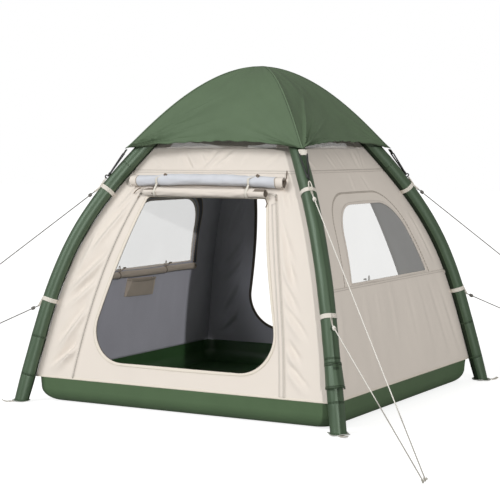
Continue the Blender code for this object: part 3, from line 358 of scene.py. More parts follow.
# partly painted shade: the arch seam's tape and stitches are darkened for the shade of the groove beside the
# seam
archGrooveShadeTape = stitchedCloth("archSeamTapeGrooveShade", tone("sand", 0.80), dye["archThreadGrooveShade"], rows=(0.12, 0.62),
                         stitch=0.02, threadWidth=0.13)
ridgeTape = stitchedCloth("ridgeSeamTape", tone("canopy", 1.12), tone("canopy", 0.35), rows=(0.06, 0.94),
                          threadWidth=0.12)
greenTape = stitchedCloth("greenSeamTape", tone("canopy", 0.90), tone("canopy", 0.45))
edgeTape = stitchedCloth("innerEdgeTape", dye["edge"], dye["edgeThread"], rows=(0.5,), stitch=0.02)
sleeveTape = stitchedCloth("sleeveSeamTape", dye["sleeve"], tone("sleeve", 0.30), rows=(0.2, 0.8),
                           roughness=0.5, threadWidth=0.10)
liningTape = stitchedCloth("liningSeamTape", tone("lining", 0.26), dye["liningThread"], rows=(0.05, 0.95),
                           stitch=0.02)
# painted shade and light: one zip coil, in a darker shaded copy and a paler lit copy
shadedZipCoil = stitchedCloth("shadedZipCoil", dye["coil"], dye["coilTeeth"], rows=(0.5,), stitch=0.0024,
                        threadWidth=0.32)
litZipCoil = stitchedCloth("paintedLightZipCoil", dye["litZipCoil"], dye["paleTeeth"], rows=(0.5,), stitch=0.0024,
                         threadWidth=0.32)
windowFilm = clearFilm("windowFilm", dye["film"], haze=0.46)
roofNet = fineNet("roofNet", dye["roofNet"], cover=0.52)
# painted shade: a darker copy of the guy cord, for lines whose lit side faces away
shadedGuyCord = braidedCord("paintedShadeGuyCord", dye["guy"])
paleCord = braidedCord("paleGuyCord", dye["paleGuy"], ground=dye["groundGuy"])
knotCord = braidedCord("paleKnotCord", dye["knot"])
brownCord = braidedCord("brownTieCord", dye["brownTie"], pitch=0.003)
blackElastic = plainSolid("blackElastic", dye["elastic"], roughness=0.55)
togglePlastic = plainSolid("toggleWood", dye["toggle"])
footRubber = plainSolid("paleFootPad", dye["footPad"], roughness=0.65, grain=40.0)
valvePlastic = plainSolid("valvePlastic", dye["valve"], roughness=0.35)
eyeMetal = plainSolid("eyeletMetal", dye["eyelet"], roughness=0.3, metallic=0.9, grain=80.0)
sliderMetal = plainSolid("zipSliderMetal", dye["zipMetal"], roughness=0.35, metallic=0.85, grain=80.0)
bladderFilm = plainSolid("bladderFilm", dye["bladder"], roughness=0.3)
print("finishes made")


# Making pieces

def gridPatch(columns, rows, place, size=(1.0, 1.0), close=False):
    # a grid that is bent into shape: place(u, v) gives each point, with u and v from 0 to 1
    bm = bmesh.new()
    bmesh.ops.create_grid(bm, x_segments=columns, y_segments=rows, size=0.5)
    layer = bm.loops.layers.uv.new("cloth")
    for face in bm.faces:
        for loop in face.loops:
            loop[layer].uv = ((loop.vert.co.x + 0.5) * size[0], (loop.vert.co.y + 0.5) * size[1])
    for vert in bm.verts:
        vert.co = place(vert.co.x + 0.5, vert.co.y + 0.5)
    if close:
        bmesh.ops.remove_doubles(bm, verts=bm.verts, dist=1e-5)
        bmesh.ops.dissolve_degenerate(bm, edges=bm.edges, dist=1e-6)
    return bm


def faceAway(bm, way=None):
    # the faces agree with each other and, given a way, mostly look that way; gives the area
    bmesh.ops.recalc_face_normals(bm, faces=bm.faces)
    if way and sum(face.normal.dot(Vector(way)) * face.calc_area() for face in bm.faces) < 0:
        bmesh.ops.reverse_faces(bm, faces=bm.faces)
    return sum(face.calc_area() for face in bm.faces)


def mapCloth(bm, spotOnCloth):
    # lays the weave by where each corner of a face is
    layer = bm.loops.layers.uv.active
    for face in bm.faces:
        for loop in face.loops:
            loop[layer].uv = spotOnCloth(face, loop.vert.co)


def linkPiece(piece, body, stands, slotName):
    bpy.context.scene.collection.objects.link(piece)
    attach(piece, body)
    if stands:
        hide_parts(stands)
    return piece


def finishPiece(name, bm, materials, body="tent", stands=None, slotName=None, thick=0.0, turn=None,
                sharp=50.0, offset=-1.0, inside=0):
    if turn is not None:
        bm.transform(turn)
    mesh = bpy.data.meshes.new(name)
    bm.to_mesh(mesh)
    bm.free()
    for material in materials if isinstance(materials, list) else [materials]:
        mesh.materials.append(material)
    mesh.shade_smooth()
    mesh.set_sharp_from_angle(angle=radians(sharp))
    piece = bpy.data.objects.new(name, mesh)
    if thick:
        solid = piece.modifiers.new("thickness", "SOLIDIFY")
        solid.thickness = thick
        solid.offset = offset
        solid.material_offset = inside
        solid.use_even_offset = False
    return linkPiece(piece, body, stands, slotName)


def joined(target, extra, turn=None):
    # adds one bmesh to another and frees it
    if turn is not None:
        extra.transform(turn)
    keep = bpy.data.meshes.new("joining")
    extra.to_mesh(keep)
    extra.free()
    target.from_mesh(keep)
    bpy.data.meshes.remove(keep)
    return target


def softBlock(shape, edge):
    # a cube that shape(corner) stretches, with its edges rounded
    bm = bmesh.new()
    bmesh.ops.create_cube(bm, size=1.0)
    for vert in bm.verts:
        vert.co = shape(vert.co)
    bmesh.ops.bevel(bm, geom=bm.edges[:], offset=edge, segments=3, profile=0.5, affect="EDGES", material=-1)
    return bm


def roundBar(length, radius, cap=0.3, segments=16):
    # a short bar along Z with rounded ends
    bm = bmesh.new()
    bmesh.ops.create_cone(bm, cap_ends=True, segments=segments, radius1=radius, radius2=radius, depth=length)
    rims = [e for e in bm.edges if abs(e.verts[0].co.z - e.verts[1].co.z) < 1e-6 and len(e.link_faces) == 2
            and any(len(f.verts) > 4 for f in e.link_faces)]
    bmesh.ops.bevel(bm, geom=rims, offset=radius * cap, segments=3, profile=0.5, affect="EDGES", material=-1)
    return bm


def sweptTube(points, radius, sides=10, closed=False):
    # a tube round a list of points, made from one ring that is bent along them
    count = len(points) if closed else len(points) - 1
    frames, normal = [], Vector((0, 0, 1))
    for k, point in enumerate(points):
        before = points[k - 1] if (closed or k) else point
        after = points[(k + 1) % len(points)] if (closed or k < len(points) - 1) else point
        along = (after - before).normalized()
        if abs(normal.dot(along)) > 0.95:
            normal = Vector((1, 0.3, 0))
        normal = (normal - along * normal.dot(along)).normalized()
        frames.append((point, normal, along.cross(normal)))

    def place(u, v):
        point, one, two = frames[round(u * count) % len(points)]
        angle = 2 * pi * v
        return point + (one * cos(angle) + two * sin(angle)) * radius
    bm = gridPatch(count, sides, place, (1.0, 2 * pi * radius), close=True)
    ends = [e for e in bm.edges if e.is_boundary]
    if ends:
        bmesh.ops.holes_fill(bm, edges=ends, sides=0)
    bmesh.ops.recalc_face_normals(bm, faces=bm.faces)
    return bm


# Camera, at the height and the side from which the tent is seen

camera = {"place": (4.4102, -7.9195, 1.5027), "tilt": 86.026, "turn": 29.552, "lens": 105.846, "sensor": 36.0}
cameraData = bpy.data.cameras.new("camera")
cameraData.lens = camera["lens"]
cameraData.sensor_width = camera["sensor"]
cameraPiece = bpy.data.objects.new("camera", cameraData)
cameraPiece.location = camera["place"]
cameraPiece.rotation_euler = (radians(camera["tilt"]), 0.0, radians(camera["turn"]))
bpy.context.scene.collection.objects.link(cameraPiece)
bpy.context.scene.camera = cameraPiece


# Guy lines and what is on them

guys = {"diameter": 0.006, "groundReach": 2.690, "groundHeight": 0.004, "spacing": 0.010, "bevelSteps": 3,
        "start": {"upper": (1.034, 1.2430), "lower": (1.376, 0.5670)},
        "endReach": {"front_right": 2.672, "front_left": 1.640, "back_right": 1.640}}
hitch = {"middle": 0.035, "turns": 5, "length": 0.022, "radius": 0.0064, "swell": 0.0018, "cord": 0.0026}
knot = {"radius": 0.0062, "lobe": 0.003, "depth": 0.0045, "cord": 0.0028, "back": 0.008}


def guySpots(corner, level):
    start = Vector((guys["start"][level][0], 0, guys["start"][level][1]))
    along = (Vector((guys["groundReach"], 0, guys["groundHeight"])) - start).normalized()
    end = start + along * ((guys["endReach"][corner] - start.x) / along.x)
    if corner == "front_right":
        end.y = guys["spacing"] / 2 if level == "upper" else -guys["spacing"] / 2
    turn = cornerTurn(corner)
    return turn @ start, turn @ end


def makeLine(name, start, end, material, stands):
    curve = bpy.data.curves.new(name, "CURVE")
    curve.dimensions = "3D"
    curve.bevel_depth = guys["diameter"] / 2
    curve.bevel_resolution = guys["bevelSteps"]
    curve.use_fill_caps = True
    points = spotsOf(11, lambda share: start.lerp(end, share))
    spline = curve.splines.new("POLY")
    spline.points.add(len(points) - 1)
    for point, spot in zip(spline.points, points):
        point.co = (*spot, 1.0)
    curve.materials.append(material)
    return linkPiece(bpy.data.objects.new(name, curve), "tent", stands, "guy_cord")


def hitchSpot(share):
    # turns laid round the line, fuller at the middle
    angle = 2 * pi * hitch["turns"] * share
    r = hitch["radius"] + hitch["swell"] * sin(pi * share)
    return Vector((r * cos(angle), r * sin(angle), (share - 0.5) * hitch["length"]))


def knotSpot(share):
    angle = 2 * pi * share
    return Vector((knot["radius"] * sin(angle) + knot["lobe"] * sin(2 * angle),
                   knot["radius"] * cos(angle) - knot["lobe"] * cos(2 * angle),
                   knot["depth"] * sin(3 * angle)))


def makeGuy(corner, level):
    start, end = guySpots(corner, level)
    along = (end - start).normalized()
    tag = "%s_%s" % (level, corner)
    # the front-left and back-right lines take the darker, painted-shade copy of the cord
    cord, endCord = (paleCord, knotCord) if corner == "front_right" else (shadedGuyCord, shadedGuyCord)
    line = makeLine("guyLine_" + tag, start, end, cord, "guy_line_" + tag)
    runner = finishPiece("guyHitch_" + tag, sweptTube(spotsOf(80, hitchSpot), hitch["cord"], 8), cord,
                         body="runner_" + tag, stands="guy_runner_" + tag, slotName="guy_cord",
                         turn=pointedAlong(along, start + along * hitch["middle"]))
    endKnot = finishPiece("guyKnot_" + tag, sweptTube(spotsOf(40, knotSpot, True), knot["cord"], 8, True),
                          endCord, slotName="guy_cord", turn=pointedAlong(along, end - along * knot["back"]))
    tuple(start)


for guyCorner in guys["endReach"]:
    for guyLevel in ("upper", "lower"):
        makeGuy(guyCorner, guyLevel)
print("camera and guy lines placed")


# Light and the floor it falls on

light = {"ambient": 0.40, "sky": (1.0, 0.985, 0.955), "stage": (0.50, 0.50, 0.50), "stageGlow": 0.80,
         "stageSize": 40.0, "stageDepth": 0.002}
suns = {"keyLight": {"power": 1.68, "from": (-0.385, -0.72, 0.575), "spread": 30,
                     "color": (0.962, 0.985, 1.0)},
        "sideLight": {"power": 1.36, "from": (0.692, -0.701, 0.172), "spread": 0.8, "color": (1, 1, 1)}}


def addSun(name, values):
    sun = bpy.data.lights.new(name, "SUN")
    sun.energy = values["power"]
    sun.color = values["color"]
    sun.angle = radians(values["spread"])
    piece = bpy.data.objects.new(name, sun)
    piece.rotation_euler = Vector(values["from"]).to_track_quat("Z", "Y").to_euler()
    bpy.context.scene.collection.objects.link(piece)


def makeSky():
    # a dim warm sky lights the tent; the eye, and what is seen through film, get plain white
    world = bpy.data.worlds.new("sky")
    bpy.context.scene.world = world
    world.use_nodes = True
    tree = world.node_tree
    glow = tree.nodes["Background"]
    feed(tree, glow, {"Color": shade(light["sky"]), "Strength": light["ambient"]})
    white = addNode(tree, "Background", {"Color": (1, 1, 1, 1), "Strength": 1.0})
    rays = addNode(tree, "LightPath").outputs
    seen = mathNode(tree, "MAXIMUM", rays["Is Camera Ray"], rays["Is Transmission Ray"])
    mix = addNode(tree, "MixShader", {"Fac": seen, 1: glow.outputs[0], 2: white.outputs[0]})
    feed(tree, tree.nodes["World Output"], {"Surface": mix.outputs[0]})


def makeStage():
    # pale to the eye, so that the ground keeps a soft shadow, and duller to the light it sends back
    material, tree, shader, _ = newFinish("paleStage", {"Base Color": shade(light["stage"]), "Roughness": 1.0,
                                                        "Specular IOR Level": 0.0,
                                                        "Emission Color": (1, 1, 1, 1)})
    seen = addNode(tree, "LightPath").outputs["Is Camera Ray"]
    feed(tree, shader, {"Emission Strength": mathNode(tree, "MULTIPLY", seen, light["stageGlow"])})
    bm = bmesh.new()
    bmesh.ops.create_grid(bm, x_segments=2, y_segments=2, size=light["stageSize"])
    mesh = bpy.data.meshes.new("stageFloor")
    bm.to_mesh(mesh)
    bm.free()
    mesh.materials.append(material)
    floor = bpy.data.objects.new("stageFloor", mesh)
    floor.location.z = -light["stageDepth"]
    bpy.context.scene.collection.objects.link(floor)


makeSky()
makeStage()
for sunName in suns:
    addSun(sunName, suns[sunName])
bpy.context.scene.view_settings.view_transform = "Standard"
print("light set")


# Beam sleeves, with sewn rings and the puckers either side of them

sleeve = {"rings": (0.160, 0.385, 1.250, 1.395), "tapedRings": (0.160, 0.385, 1.395), "seam": 1.3205,
          "pucker": 0.0007, "puckerReach": 0.035, "groove": 0.0010, "grooveReach": 0.005, "wander": 0.0012,
          "foot": 0.0044, "flatTop": 0.12, "sink": 0.0010, "thickness": 0.0012, "underlap": 0.032,
          "lapLength": 0.030, "lapHeight": 0.0005, "tapeWidth": 0.013, "tapeThickness": 0.0008,
          "shadeStrip": -0.69, "legCut": (1.45, 0.399), "crownCut": (1.19, 1.308)}
bladder = {"radius": 0.0395, "endLength": 0.016, "endRadius": 0.02, "above": 0.010}
beamRound = 2 * pi * beam["radius"]
seamStation = stationAt(sleeve["seam"])
footStation = stationAt(sleeve["foot"])


def sleeveRipple(height, angle, tag):
    # puckers run along the beam and die out a few centimetres from each sewn ring
    near = min(abs(height - ring) for ring in sleeve["rings"])
    pucker = sleeve["pucker"] * exp(-(near / sleeve["puckerReach"]) ** 2) * sin(17 * angle + 3 * tag)
    slack = sleeve["wander"] * noise.noise(Vector((cos(angle) * 1.3, sin(angle) * 1.3, height * 7 + tag * 5)))
    groove = -sleeve["groove"] * exp(-(near / sleeve["grooveReach"]) ** 2)
    return pucker + slack + groove


def sleeveTube(low, high, tag, columns=170, flatFoot=True, lap=0.0):
    def place(u, v):
        t = mixed(low, high, u)
        angle = 2 * pi * v
        height, middle = beamSpot(t).y, beamSpot(t).x
        # a lapped end starts just under the piece it joins and comes out over it
        lift = lap * mixed(-1, 1, smoothStep(t, low, low + sleeve["lapLength"])) - sleeve["sink"]
        r = beam["radius"] + sleeveRipple(height, angle, tag) + lift
        spot = beamFrame(t) @ Vector((r * cos(angle), r * sin(angle), 0))
        if flatFoot and height < sleeve["flatTop"] + 0.02:
            # the lowest part is cut level with the ground
            share = 1 - smoothStep(height, sleeve["foot"], sleeve["flatTop"])
            level = mixed(spot.z, max(height, sleeve["foot"]), share)
            spot = Vector((mixed(spot.x, middle + (spot.x - middle) * 1.01, share), spot.y, level))
        return spot
    tube = gridPatch(columns, 48, place, ((high - low) * 1.7, beamRound), close=True)
    # painted shade: a darker strip faces the walls, all along the sleeve, for the shade between beam and wall
    layer = tube.loops.layers.uv.active
    for face in tube.faces:
        turned = sum(loop[layer].uv.y for loop in face.loops) / len(face.loops) / beam["radius"]
        face.material_index = int(cos(turned) < sleeve["shadeStrip"])
    return tube


def makeLegSleeve(corner, tag):
    leg = finishPiece("legSleeve_" + corner, sleeveTube(footStation, seamStation, tag),
                      [sleeveCloth, sleeveShadeCloth],
                      stands="beam_sleeve_" + corner, slotName="beam_sleeve", turn=cornerTurn(corner),
                      thick=sleeve["thickness"])


def makeCrownSleeve():
    whole = bmesh.new()
    for k, corner in enumerate(corners):
        arm = sleeveTube(seamStation - sleeve["underlap"], 2.0, k, columns=130, flatFoot=False,
                         lap=sleeve["lapHeight"])
        joined(whole, arm, cornerTurn(corner))
    crown = finishPiece("crownSleeve", whole, [sleeveCloth, sleeveShadeCloth], stands="crown_sleeve",
                        slotName="beam_sleeve", thick=sleeve["thickness"])


def ringTape(corner, height):
    # a tape sewn round the beam with two rows of stitches
    frameHere = beamFrame(stationAt(height))

    def place(u, v):
        r = beam["radius"] + 0.0003 - 0.0008 * (2 * v - 1) ** 4
        return frameHere @ Vector((r * cos(2 * pi * u), r * sin(2 * pi * u), (v - 0.5) * sleeve["tapeWidth"]))
    tape = gridPatch(64, 6, place, (beamRound, 1.0), close=True)
    finishPiece("sleeveRing_%s_%d" % (corner, round(height * 1000)), tape, sleeveTape, slotName="beam_sleeve",
                turn=cornerTurn(corner), thick=sleeve["tapeThickness"])


def bladderSpot(u, v):
    # a thin tube with a rounded end just above the ground
    start = footStation + 0.004
    rounding = sqrt(max(0.0, 1 - (1 - min(1.0, u / bladder["endLength"])) ** 2)) + bladder["endRadius"]
    r = bladder["radius"] * min(1.0, rounding)
    return beamFrame(mixed(start, 2.0, u)) @ Vector((r * cos(2 * pi * v), r * sin(2 * pi * v),
                                                     bladder["above"]))


def makeBladder():
    whole = bmesh.new()
    for corner in corners:
        tube = gridPatch(130, 24, bladderSpot, close=True)
        bmesh.ops.holes_fill(tube, edges=[e for e in tube.edges if e.is_boundary], sides=0)
        joined(whole, tube, cornerTurn(corner))
    piece = finishPiece("airBladder", whole, bladderFilm, stands="air_bladder", slotName="bladder_film")


for cornerNumber, cornerName in enumerate(corners):
    makeLegSleeve(cornerName, cornerNumber)
    for ringHeight in sleeve["tapedRings"]:
        ringTape(cornerName, ringHeight)
makeCrownSleeve()
makeBladder()
print("beams dressed")


# Walls: each is shaped facing -Y and turned to its side

door = {"bottom": 0.262, "top": 1.215, "bottomHalf": 0.650, "topHalf": 0.400, "corners": (0.200, 0.025)}
window = {"bottom": 0.742, "top": 1.172, "bottomHalf": 0.535, "topHalf": 0.385, "corners": (0.008, 0.275)}
windowShifts = {"right": 0.045, "left": -0.009}  # both sit a little towards the back
zipLine = {"bottom": 0.150, "top": 1.232, "half": 0.718, "lean": 0.1443, "bow": 0.0885, "straighter": 0.027}
wallCut = {"columns": 400, "rows": 44, "length": 1.48}


def roundedOutline(shape, shift=0.0, steps=9):
    lowRadius, highRadius = shape["corners"]
    spots = [(Vector((shift - shape["bottomHalf"], shape["bottom"])), lowRadius),
             (Vector((shift - shape["topHalf"], shape["top"])), highRadius),
             (Vector((shift + shape["topHalf"], shape["top"])), highRadius),
             (Vector((shift + shape["bottomHalf"], shape["bottom"])), lowRadius)]
    outline = []
    for k, (corner, radius) in enumerate(spots):
        before = (spots[k - 1][0] - corner).normalized()
        after = (spots[(k + 1) % 4][0] - corner).normalized()
        half = before.angle(after) / 2
        center = corner + (before + after).normalized() * radius / sin(half)
        first = corner + before * radius / tan(half) - center
        last = corner + after * radius / tan(half) - center
        start = atan2(first.y, first.x)
        turn = (atan2(last.y, last.x) - start + pi) % (2 * pi) - pi
        for step in range(steps):
            angle = start + turn * step / (steps - 1)
            outline.append(center + radius * Vector((cos(angle), sin(angle))))
    return outline


def wallBorder(columns):
    # from the lower left corner up, along the eave, down the right edge and back along the hem
    up, over = round(columns * 0.28), round(columns * 0.2)
    across = columns - 2 * up - over
    hem, eave = cabin["hem"], cabin["eave"]
    low, top = wallHalf(hem), wallHalf(eave)
    rising = spotsOf(up, lambda share: mixed(hem, eave, share), closed=True)
    falling = spotsOf(up, lambda share: mixed(eave, hem, share), closed=True)
    return ([Vector((-wallHalf(z), z)) for z in rising]
            + spotsOf(over, lambda share: Vector((mixed(-top, top, share), eave)), closed=True)
            + [Vector((wallHalf(z), z)) for z in falling]
            + spotsOf(across, lambda share: Vector((mixed(low, -low, share), hem)), closed=True))


def edgeFacing(outline, center, target):
    # where the line from the middle to a border point leaves the opening
    ray, best = target - center, None
    for k, a in enumerate(outline):
        edge = outline[(k + 1) % len(outline)] - a
        cross = ray.x * edge.y - ray.y * edge.x
        if abs(cross) < 1e-12:
            continue
        gap = a - center
        along = (gap.x * edge.y - gap.y * edge.x) / cross
        share = (gap.x * ray.y - gap.y * ray.x) / cross
        if along > 0 and -1e-9 <= share <= 1 + 1e-9:
            best = along if best is None else min(best, along)
    return center + ray * best


def zipHalf(z, hand=-1):
    # seen from outside, the right zip stands a little straighter than the left
    rise = z - zipLine["bottom"]
    straighter = zipLine["straighter"] * max(0.0, 1 - rise / (zipLine["top"] - zipLine["bottom"])) ** 2
    half = zipLine["half"] - zipLine["lean"] * rise - zipLine["bow"] * rise * rise
    return half - (straighter if hand > 0 else 0.0)


def creaseHeight(x, z, creases):
    # each crease is a soft ridge with a hollow beside it, fading at both ends
    total = 0.0
    for x0, z0, x1, z1, height, width in creases:
        ax, az = x1 - x0, z1 - z0
        length = hypot(ax, az)
        along = ((x - x0) * ax + (z - z0) * az) / (length * length)
        if -0.25 < along < 1.25:
            off = ((x - x0) * -az + (z - z0) * ax) / length
            fade = smoothStep(along, -0.22, 0.3) * (1 - smoothStep(along, 0.65, 1.22))
            hollow = 0.7 * exp(-((off + 1.7 * width) / (1.3 * width)) ** 2)
            total += height * fade * (exp(-(off / width) ** 2) - hollow)
    return total


# each crease: where it starts across and up the wall, where it ends, its height and its width
frontCreases = [(-0.498, 1.171, -0.700, 0.886, 0.020, 0.019), (-0.550, 0.891, -0.791, 0.661, 0.024, 0.021),
                (-0.592, 0.740, -0.800, 0.560, 0.015, 0.018), (-0.639, 0.581, -0.821, 0.339, 0.024, 0.021),
                (-0.628, 0.409, -0.844, 0.191, 0.021, 0.020), (-0.700, 0.330, -0.870, 0.200, 0.012, 0.015),
                (-0.470, 1.300, -0.590, 1.130, 0.011, 0.015), (-0.700, 0.980, -0.760, 0.800, 0.010, 0.014),
                (0.489, 1.139, 0.651, 0.878, -0.016, 0.019), (0.561, 0.983, 0.687, 0.741, -0.019, 0.019),
                (0.590, 0.800, 0.720, 0.610, -0.013, 0.018), (0.669, 0.456, 0.767, 0.351, -0.017, 0.018),
                (0.618, 0.368, 0.585, 0.216, -0.012, 0.016), (0.640, 0.640, 0.790, 0.480, -0.012, 0.016),
                (0.490, 1.290, 0.570, 1.160, -0.010, 0.015), (0.700, 0.330, 0.830, 0.210, -0.013, 0.016),
                (-0.215, 1.470, -0.130, 1.380, 0.0150, 0.013), (-0.113, 1.478, -0.063, 1.415, 0.012, 0.011),
                (0.000, 1.478, -0.060, 1.385, 0.0150, 0.013), (0.090, 1.472, 0.005, 1.400, 0.012, 0.012),
                (-0.44, 1.46, -0.36, 1.39, 0.005, 0.013), (-0.30, 1.47, -0.27, 1.40, 0.003, 0.011),
                (0.20, 1.47, 0.17, 1.39, -0.004, 0.012), (0.40, 1.46, 0.33, 1.39, -0.005, 0.013)]
sideCreases = [(-0.70, 0.66, -0.80, 0.25, 0.006, 0.026), (-0.36, 0.69, -0.40, 0.30, 0.004, 0.024),
               (-0.20, 0.69, -0.22, 0.50, 0.003, 0.018), (0.00, 0.70, -0.02, 0.36, 0.0035, 0.024),
               (0.24, 0.69, 0.26, 0.35, -0.004, 0.026), (0.42, 0.69, 0.49, 0.30, -0.004, 0.024),
               (0.58, 0.67, 0.70, 0.24, -0.006, 0.024), (0.74, 0.60, 0.86, 0.22, -0.006, 0.022),
               (-0.60, 1.16, -0.72, 0.86, 0.006, 0.018), (0.62, 1.10, 0.72, 0.82, -0.006, 0.018),
               (-0.40, 1.47, -0.35, 1.385, 0.004, 0.012), (-0.10, 1.47, -0.08, 1.385, 0.004, 0.013),
               (0.03, 1.475, 0.04, 1.385, 0.003, 0.011), (0.27, 1.47, 0.24, 1.385, 0.006, 0.013),
               (0.36, 1.47, 0.30, 1.385, -0.006, 0.012), (0.05, 1.33, 0.01, 1.24, 0.003, 0.014),
               (0.20, 1.33, 0.22, 1.24, -0.003, 0.014)]
slack = {"broad": 0.0075, "fine": 0.0022, "tuck": 0.0007, "edge": 0.10, "still": 0.25}


def clothSwell(x, z, tag):
    # slack between the places where the cloth is sewn down
    still, seam = slack["still"], cabin["seam"]
    room = smoothStep(wallHalf(z) - abs(x), 0.0, slack["edge"])
    room *= smoothStep(z, cabin["hem"], cabin["hem"] + 0.06)
    room *= still + (1 - still) * smoothStep(abs(z - seam), 0.0, 0.05)
    broad = noise.noise(Vector((x * 2.6 + tag * 9.1, z * 1.7, tag))) * slack["broad"]
    fine = noise.noise(Vector((x * 9.0, z * 5.0 + tag * 3.3, tag + 4.0))) * slack["fine"]
    tuck = slack["tuck"] * sin(x * 70 + 3 * sin(x * 13)) * smoothStep(z, seam + 0.01, cabin["eave"] - 0.02)
    return room * (broad + fine + tuck)


def frontFold(x, z, tag=0.0):
    # tension folds stand outside the zips, and small ones between the seam and the eave
    seam = cabin["seam"]
    zipAt = zipHalf(z, 1 if x > 0 else -1)
    beside = smoothStep(abs(x), zipAt + 0.004, zipAt + 0.05)
    if z < seam:
        reach = beside * smoothStep(wallHalf(z) - abs(x), 0.0, 0.06)
        swell = slack["still"] + (1 - slack["still"]) * beside
    else:
        reach = smoothStep(z, seam + 0.005, seam + 0.03) * smoothStep(cabin["eave"] - z, 0.0, 0.02)
        swell = 1.0
    return creaseHeight(x, z, frontCreases) * reach + clothSwell(x, z, tag) * swell


def sideFold(x, z, tag=2.0):
    ends = smoothStep(wallHalf(z) - abs(x), 0.0, 0.06) * smoothStep(z, cabin["hem"], cabin["hem"] + 0.05)
    nearWindow = smoothStep(hypot(max(0.0, abs(x) - 0.53), max(0.0, z - 1.17, 0.735 - z)), 0.0, 0.035)
    calm = 0.55 if z < 0.72 else 1.0
    creases = creaseHeight(x, z, sideCreases) * ends * calm
    return (creases + clothSwell(x, z, tag)) * (0.15 + 0.85 * nearWindow)


def wallSpot(x, z, out=0.0, fold=None):
    # out is measured outward from the wall's face
    face = wallHalf(z)
    shrink = (face + min(out, 0.0)) / face
    return Vector((x * shrink, -(face + out + (fold(x, z) if fold else 0.0)), z))


wallKinds = {"front": (door, frontFold), "back": (door, lambda x, z: 0.5 * frontFold(-x, z, 5.0)),
             "right": (window, sideFold), "left": (window, lambda x, z: 0.45 * sideFold(-x, z, 8.0))}


def wallPoints(side, columns):
    shape, shift = wallKinds[side][0], windowShifts.get(side, 0.0)
    outline = roundedOutline(shape, shift, 14)
    center = Vector((shift, (shape["bottom"] + shape["top"]) / 2))
    border = wallBorder(columns)
    return [edgeFacing(outline, center, spot) for spot in border], border


def makeWall(side, edge, border):
    columns, fold = wallCut["columns"], wallKinds[side][1]

    def place(u, v):
        k = round(u * columns) % columns
        return wallSpot(*edge[k].lerp(border[k], v), 0.0, fold)
    bm = gridPatch(columns, wallCut["rows"], place, close=True)
    mapCloth(bm, lambda face, co: (co.x, co.z))
    area = faceAway(bm, (0, -1, 0))
    wall = finishPiece("wall_%s_cloth" % side, bm, [sandCanvas, darkLining], stands="wall_" + side,
                       slotName="wall_cloth", turn=sideTurn(side), thick=cabin["thickness"], inside=1)
    2 * wallHalf(cabin["hem"])


def lineLength(line):
    return sum((Vector(b) - Vector(a)).length for a, b in zip(line, line[1:]))


def makeBinding(side, edge, border, width, material, proud=0.0036):
    # a tape folded over the cut edge: outside, round the edge and inside
    fold, columns, thickness = wallKinds[side][1], len(edge), cabin["thickness"]
    profile = [(1.0, 0.0008), (0.97, proud * 0.8), (0.8, proud), (0.4, proud), (0.1, proud * 0.95),
               (-0.03, proud * 0.5), (-0.06, -thickness / 2), (-0.03, -thickness - 0.0010),
               (0.1, -thickness - 0.0016), (0.97, -thickness - 0.0012)]

    def place(u, v):
        k = round(u * columns) % columns
        share, out = profile[round(v * (len(profile) - 1))]
        spot = edge[k] + (border[k] - edge[k]).normalized() * width * share
        return wallSpot(spot.x, spot.y, 0.0, fold) + Vector((0, -out, 0))
    bm = gridPatch(columns, len(profile) - 1, place, (lineLength(edge + edge[:1]), 1.0), close=True)
    faceAway(bm)
    finishPiece("binding_" + side, bm, material, slotName="wall_cloth", turn=sideTurn(side), sharp=70)


def wallTape(name, side, line, width, material, out=0.0012, rise=0.0, closed=False, face=1):
    # a tape laid on a wall along a line of (x, z) points; a face of -1 lays it inside
    fold, count = wallKinds[side][1], len(line) - 1

    def place(u, v):
        k = round(u * count)
        before, after = Vector(line[max(0, k - 1)]), Vector(line[min(count, k + 1)])
        if closed and k in (0, count):
            before, after = Vector(line[count - 1]), Vector(line[1])
        along = (after - before).normalized()
        spot = Vector(line[k]) + Vector((-along.y, along.x)) * (v - 0.5) * width
        crown = 1 - (2 * v - 1) ** 4
        outward = -face * (out * (0.35 + 0.65 * crown) + rise)
        return wallSpot(spot.x, spot.y, 0.0, fold) + Vector((0, outward, 0))
    bm = gridPatch(count, 6, place, (lineLength(line), 1.0), close=closed)
    faceAway(bm, (0, -face, 0))
    finishPiece(name, bm, material, slotName="wall_cloth", turn=sideTurn(side), thick=0.0009)


def evenLine(path, count):
    lengths = [0.0]
    for a, b in zip(path, path[1:]):
        lengths.append(lengths[-1] + (b - a).length)
    line = []
    for k in range(count + 1):
        mark = lengths[-1] * k / count
        n = min(len(path) - 1, max(1, bisect.bisect_left(lengths, mark)))
        share = (mark - lengths[n - 1]) / max(1e-9, lengths[n] - lengths[n - 1])
        line.append(tuple(path[n - 1].lerp(path[n], share)))
    return line


def levelTape(name, side, z, width, material, lift=0.0):
    # a tape across the whole wall, 4 mm short of the beams
    half = wallHalf(z) - 0.004
    line = spotsOf(90, lambda share: (mixed(-half, half, share), z + lift))
    wallTape("%s_%s" % (name, side), side, line, width, material)


def innerDoorEdge(side, gap=0.007, wide=0.018):
    # a dark tape round the doorway on the inside
    rim = {"bottom": door["bottom"] - gap, "top": door["top"] + gap, "bottomHalf": door["bottomHalf"] + 0.008,
           "topHalf": door["topHalf"] + 0.008, "corners": tuple(radius + gap for radius in door["corners"])}
    loop = roundedOutline(rim, 0.0, 24)
    wallTape("innerEdge_" + side, side, evenLine(loop + loop[:1], 300), wide, edgeTape, out=0.0010,
             rise=cabin["thickness"] + 0.0034, face=-1, closed=True)


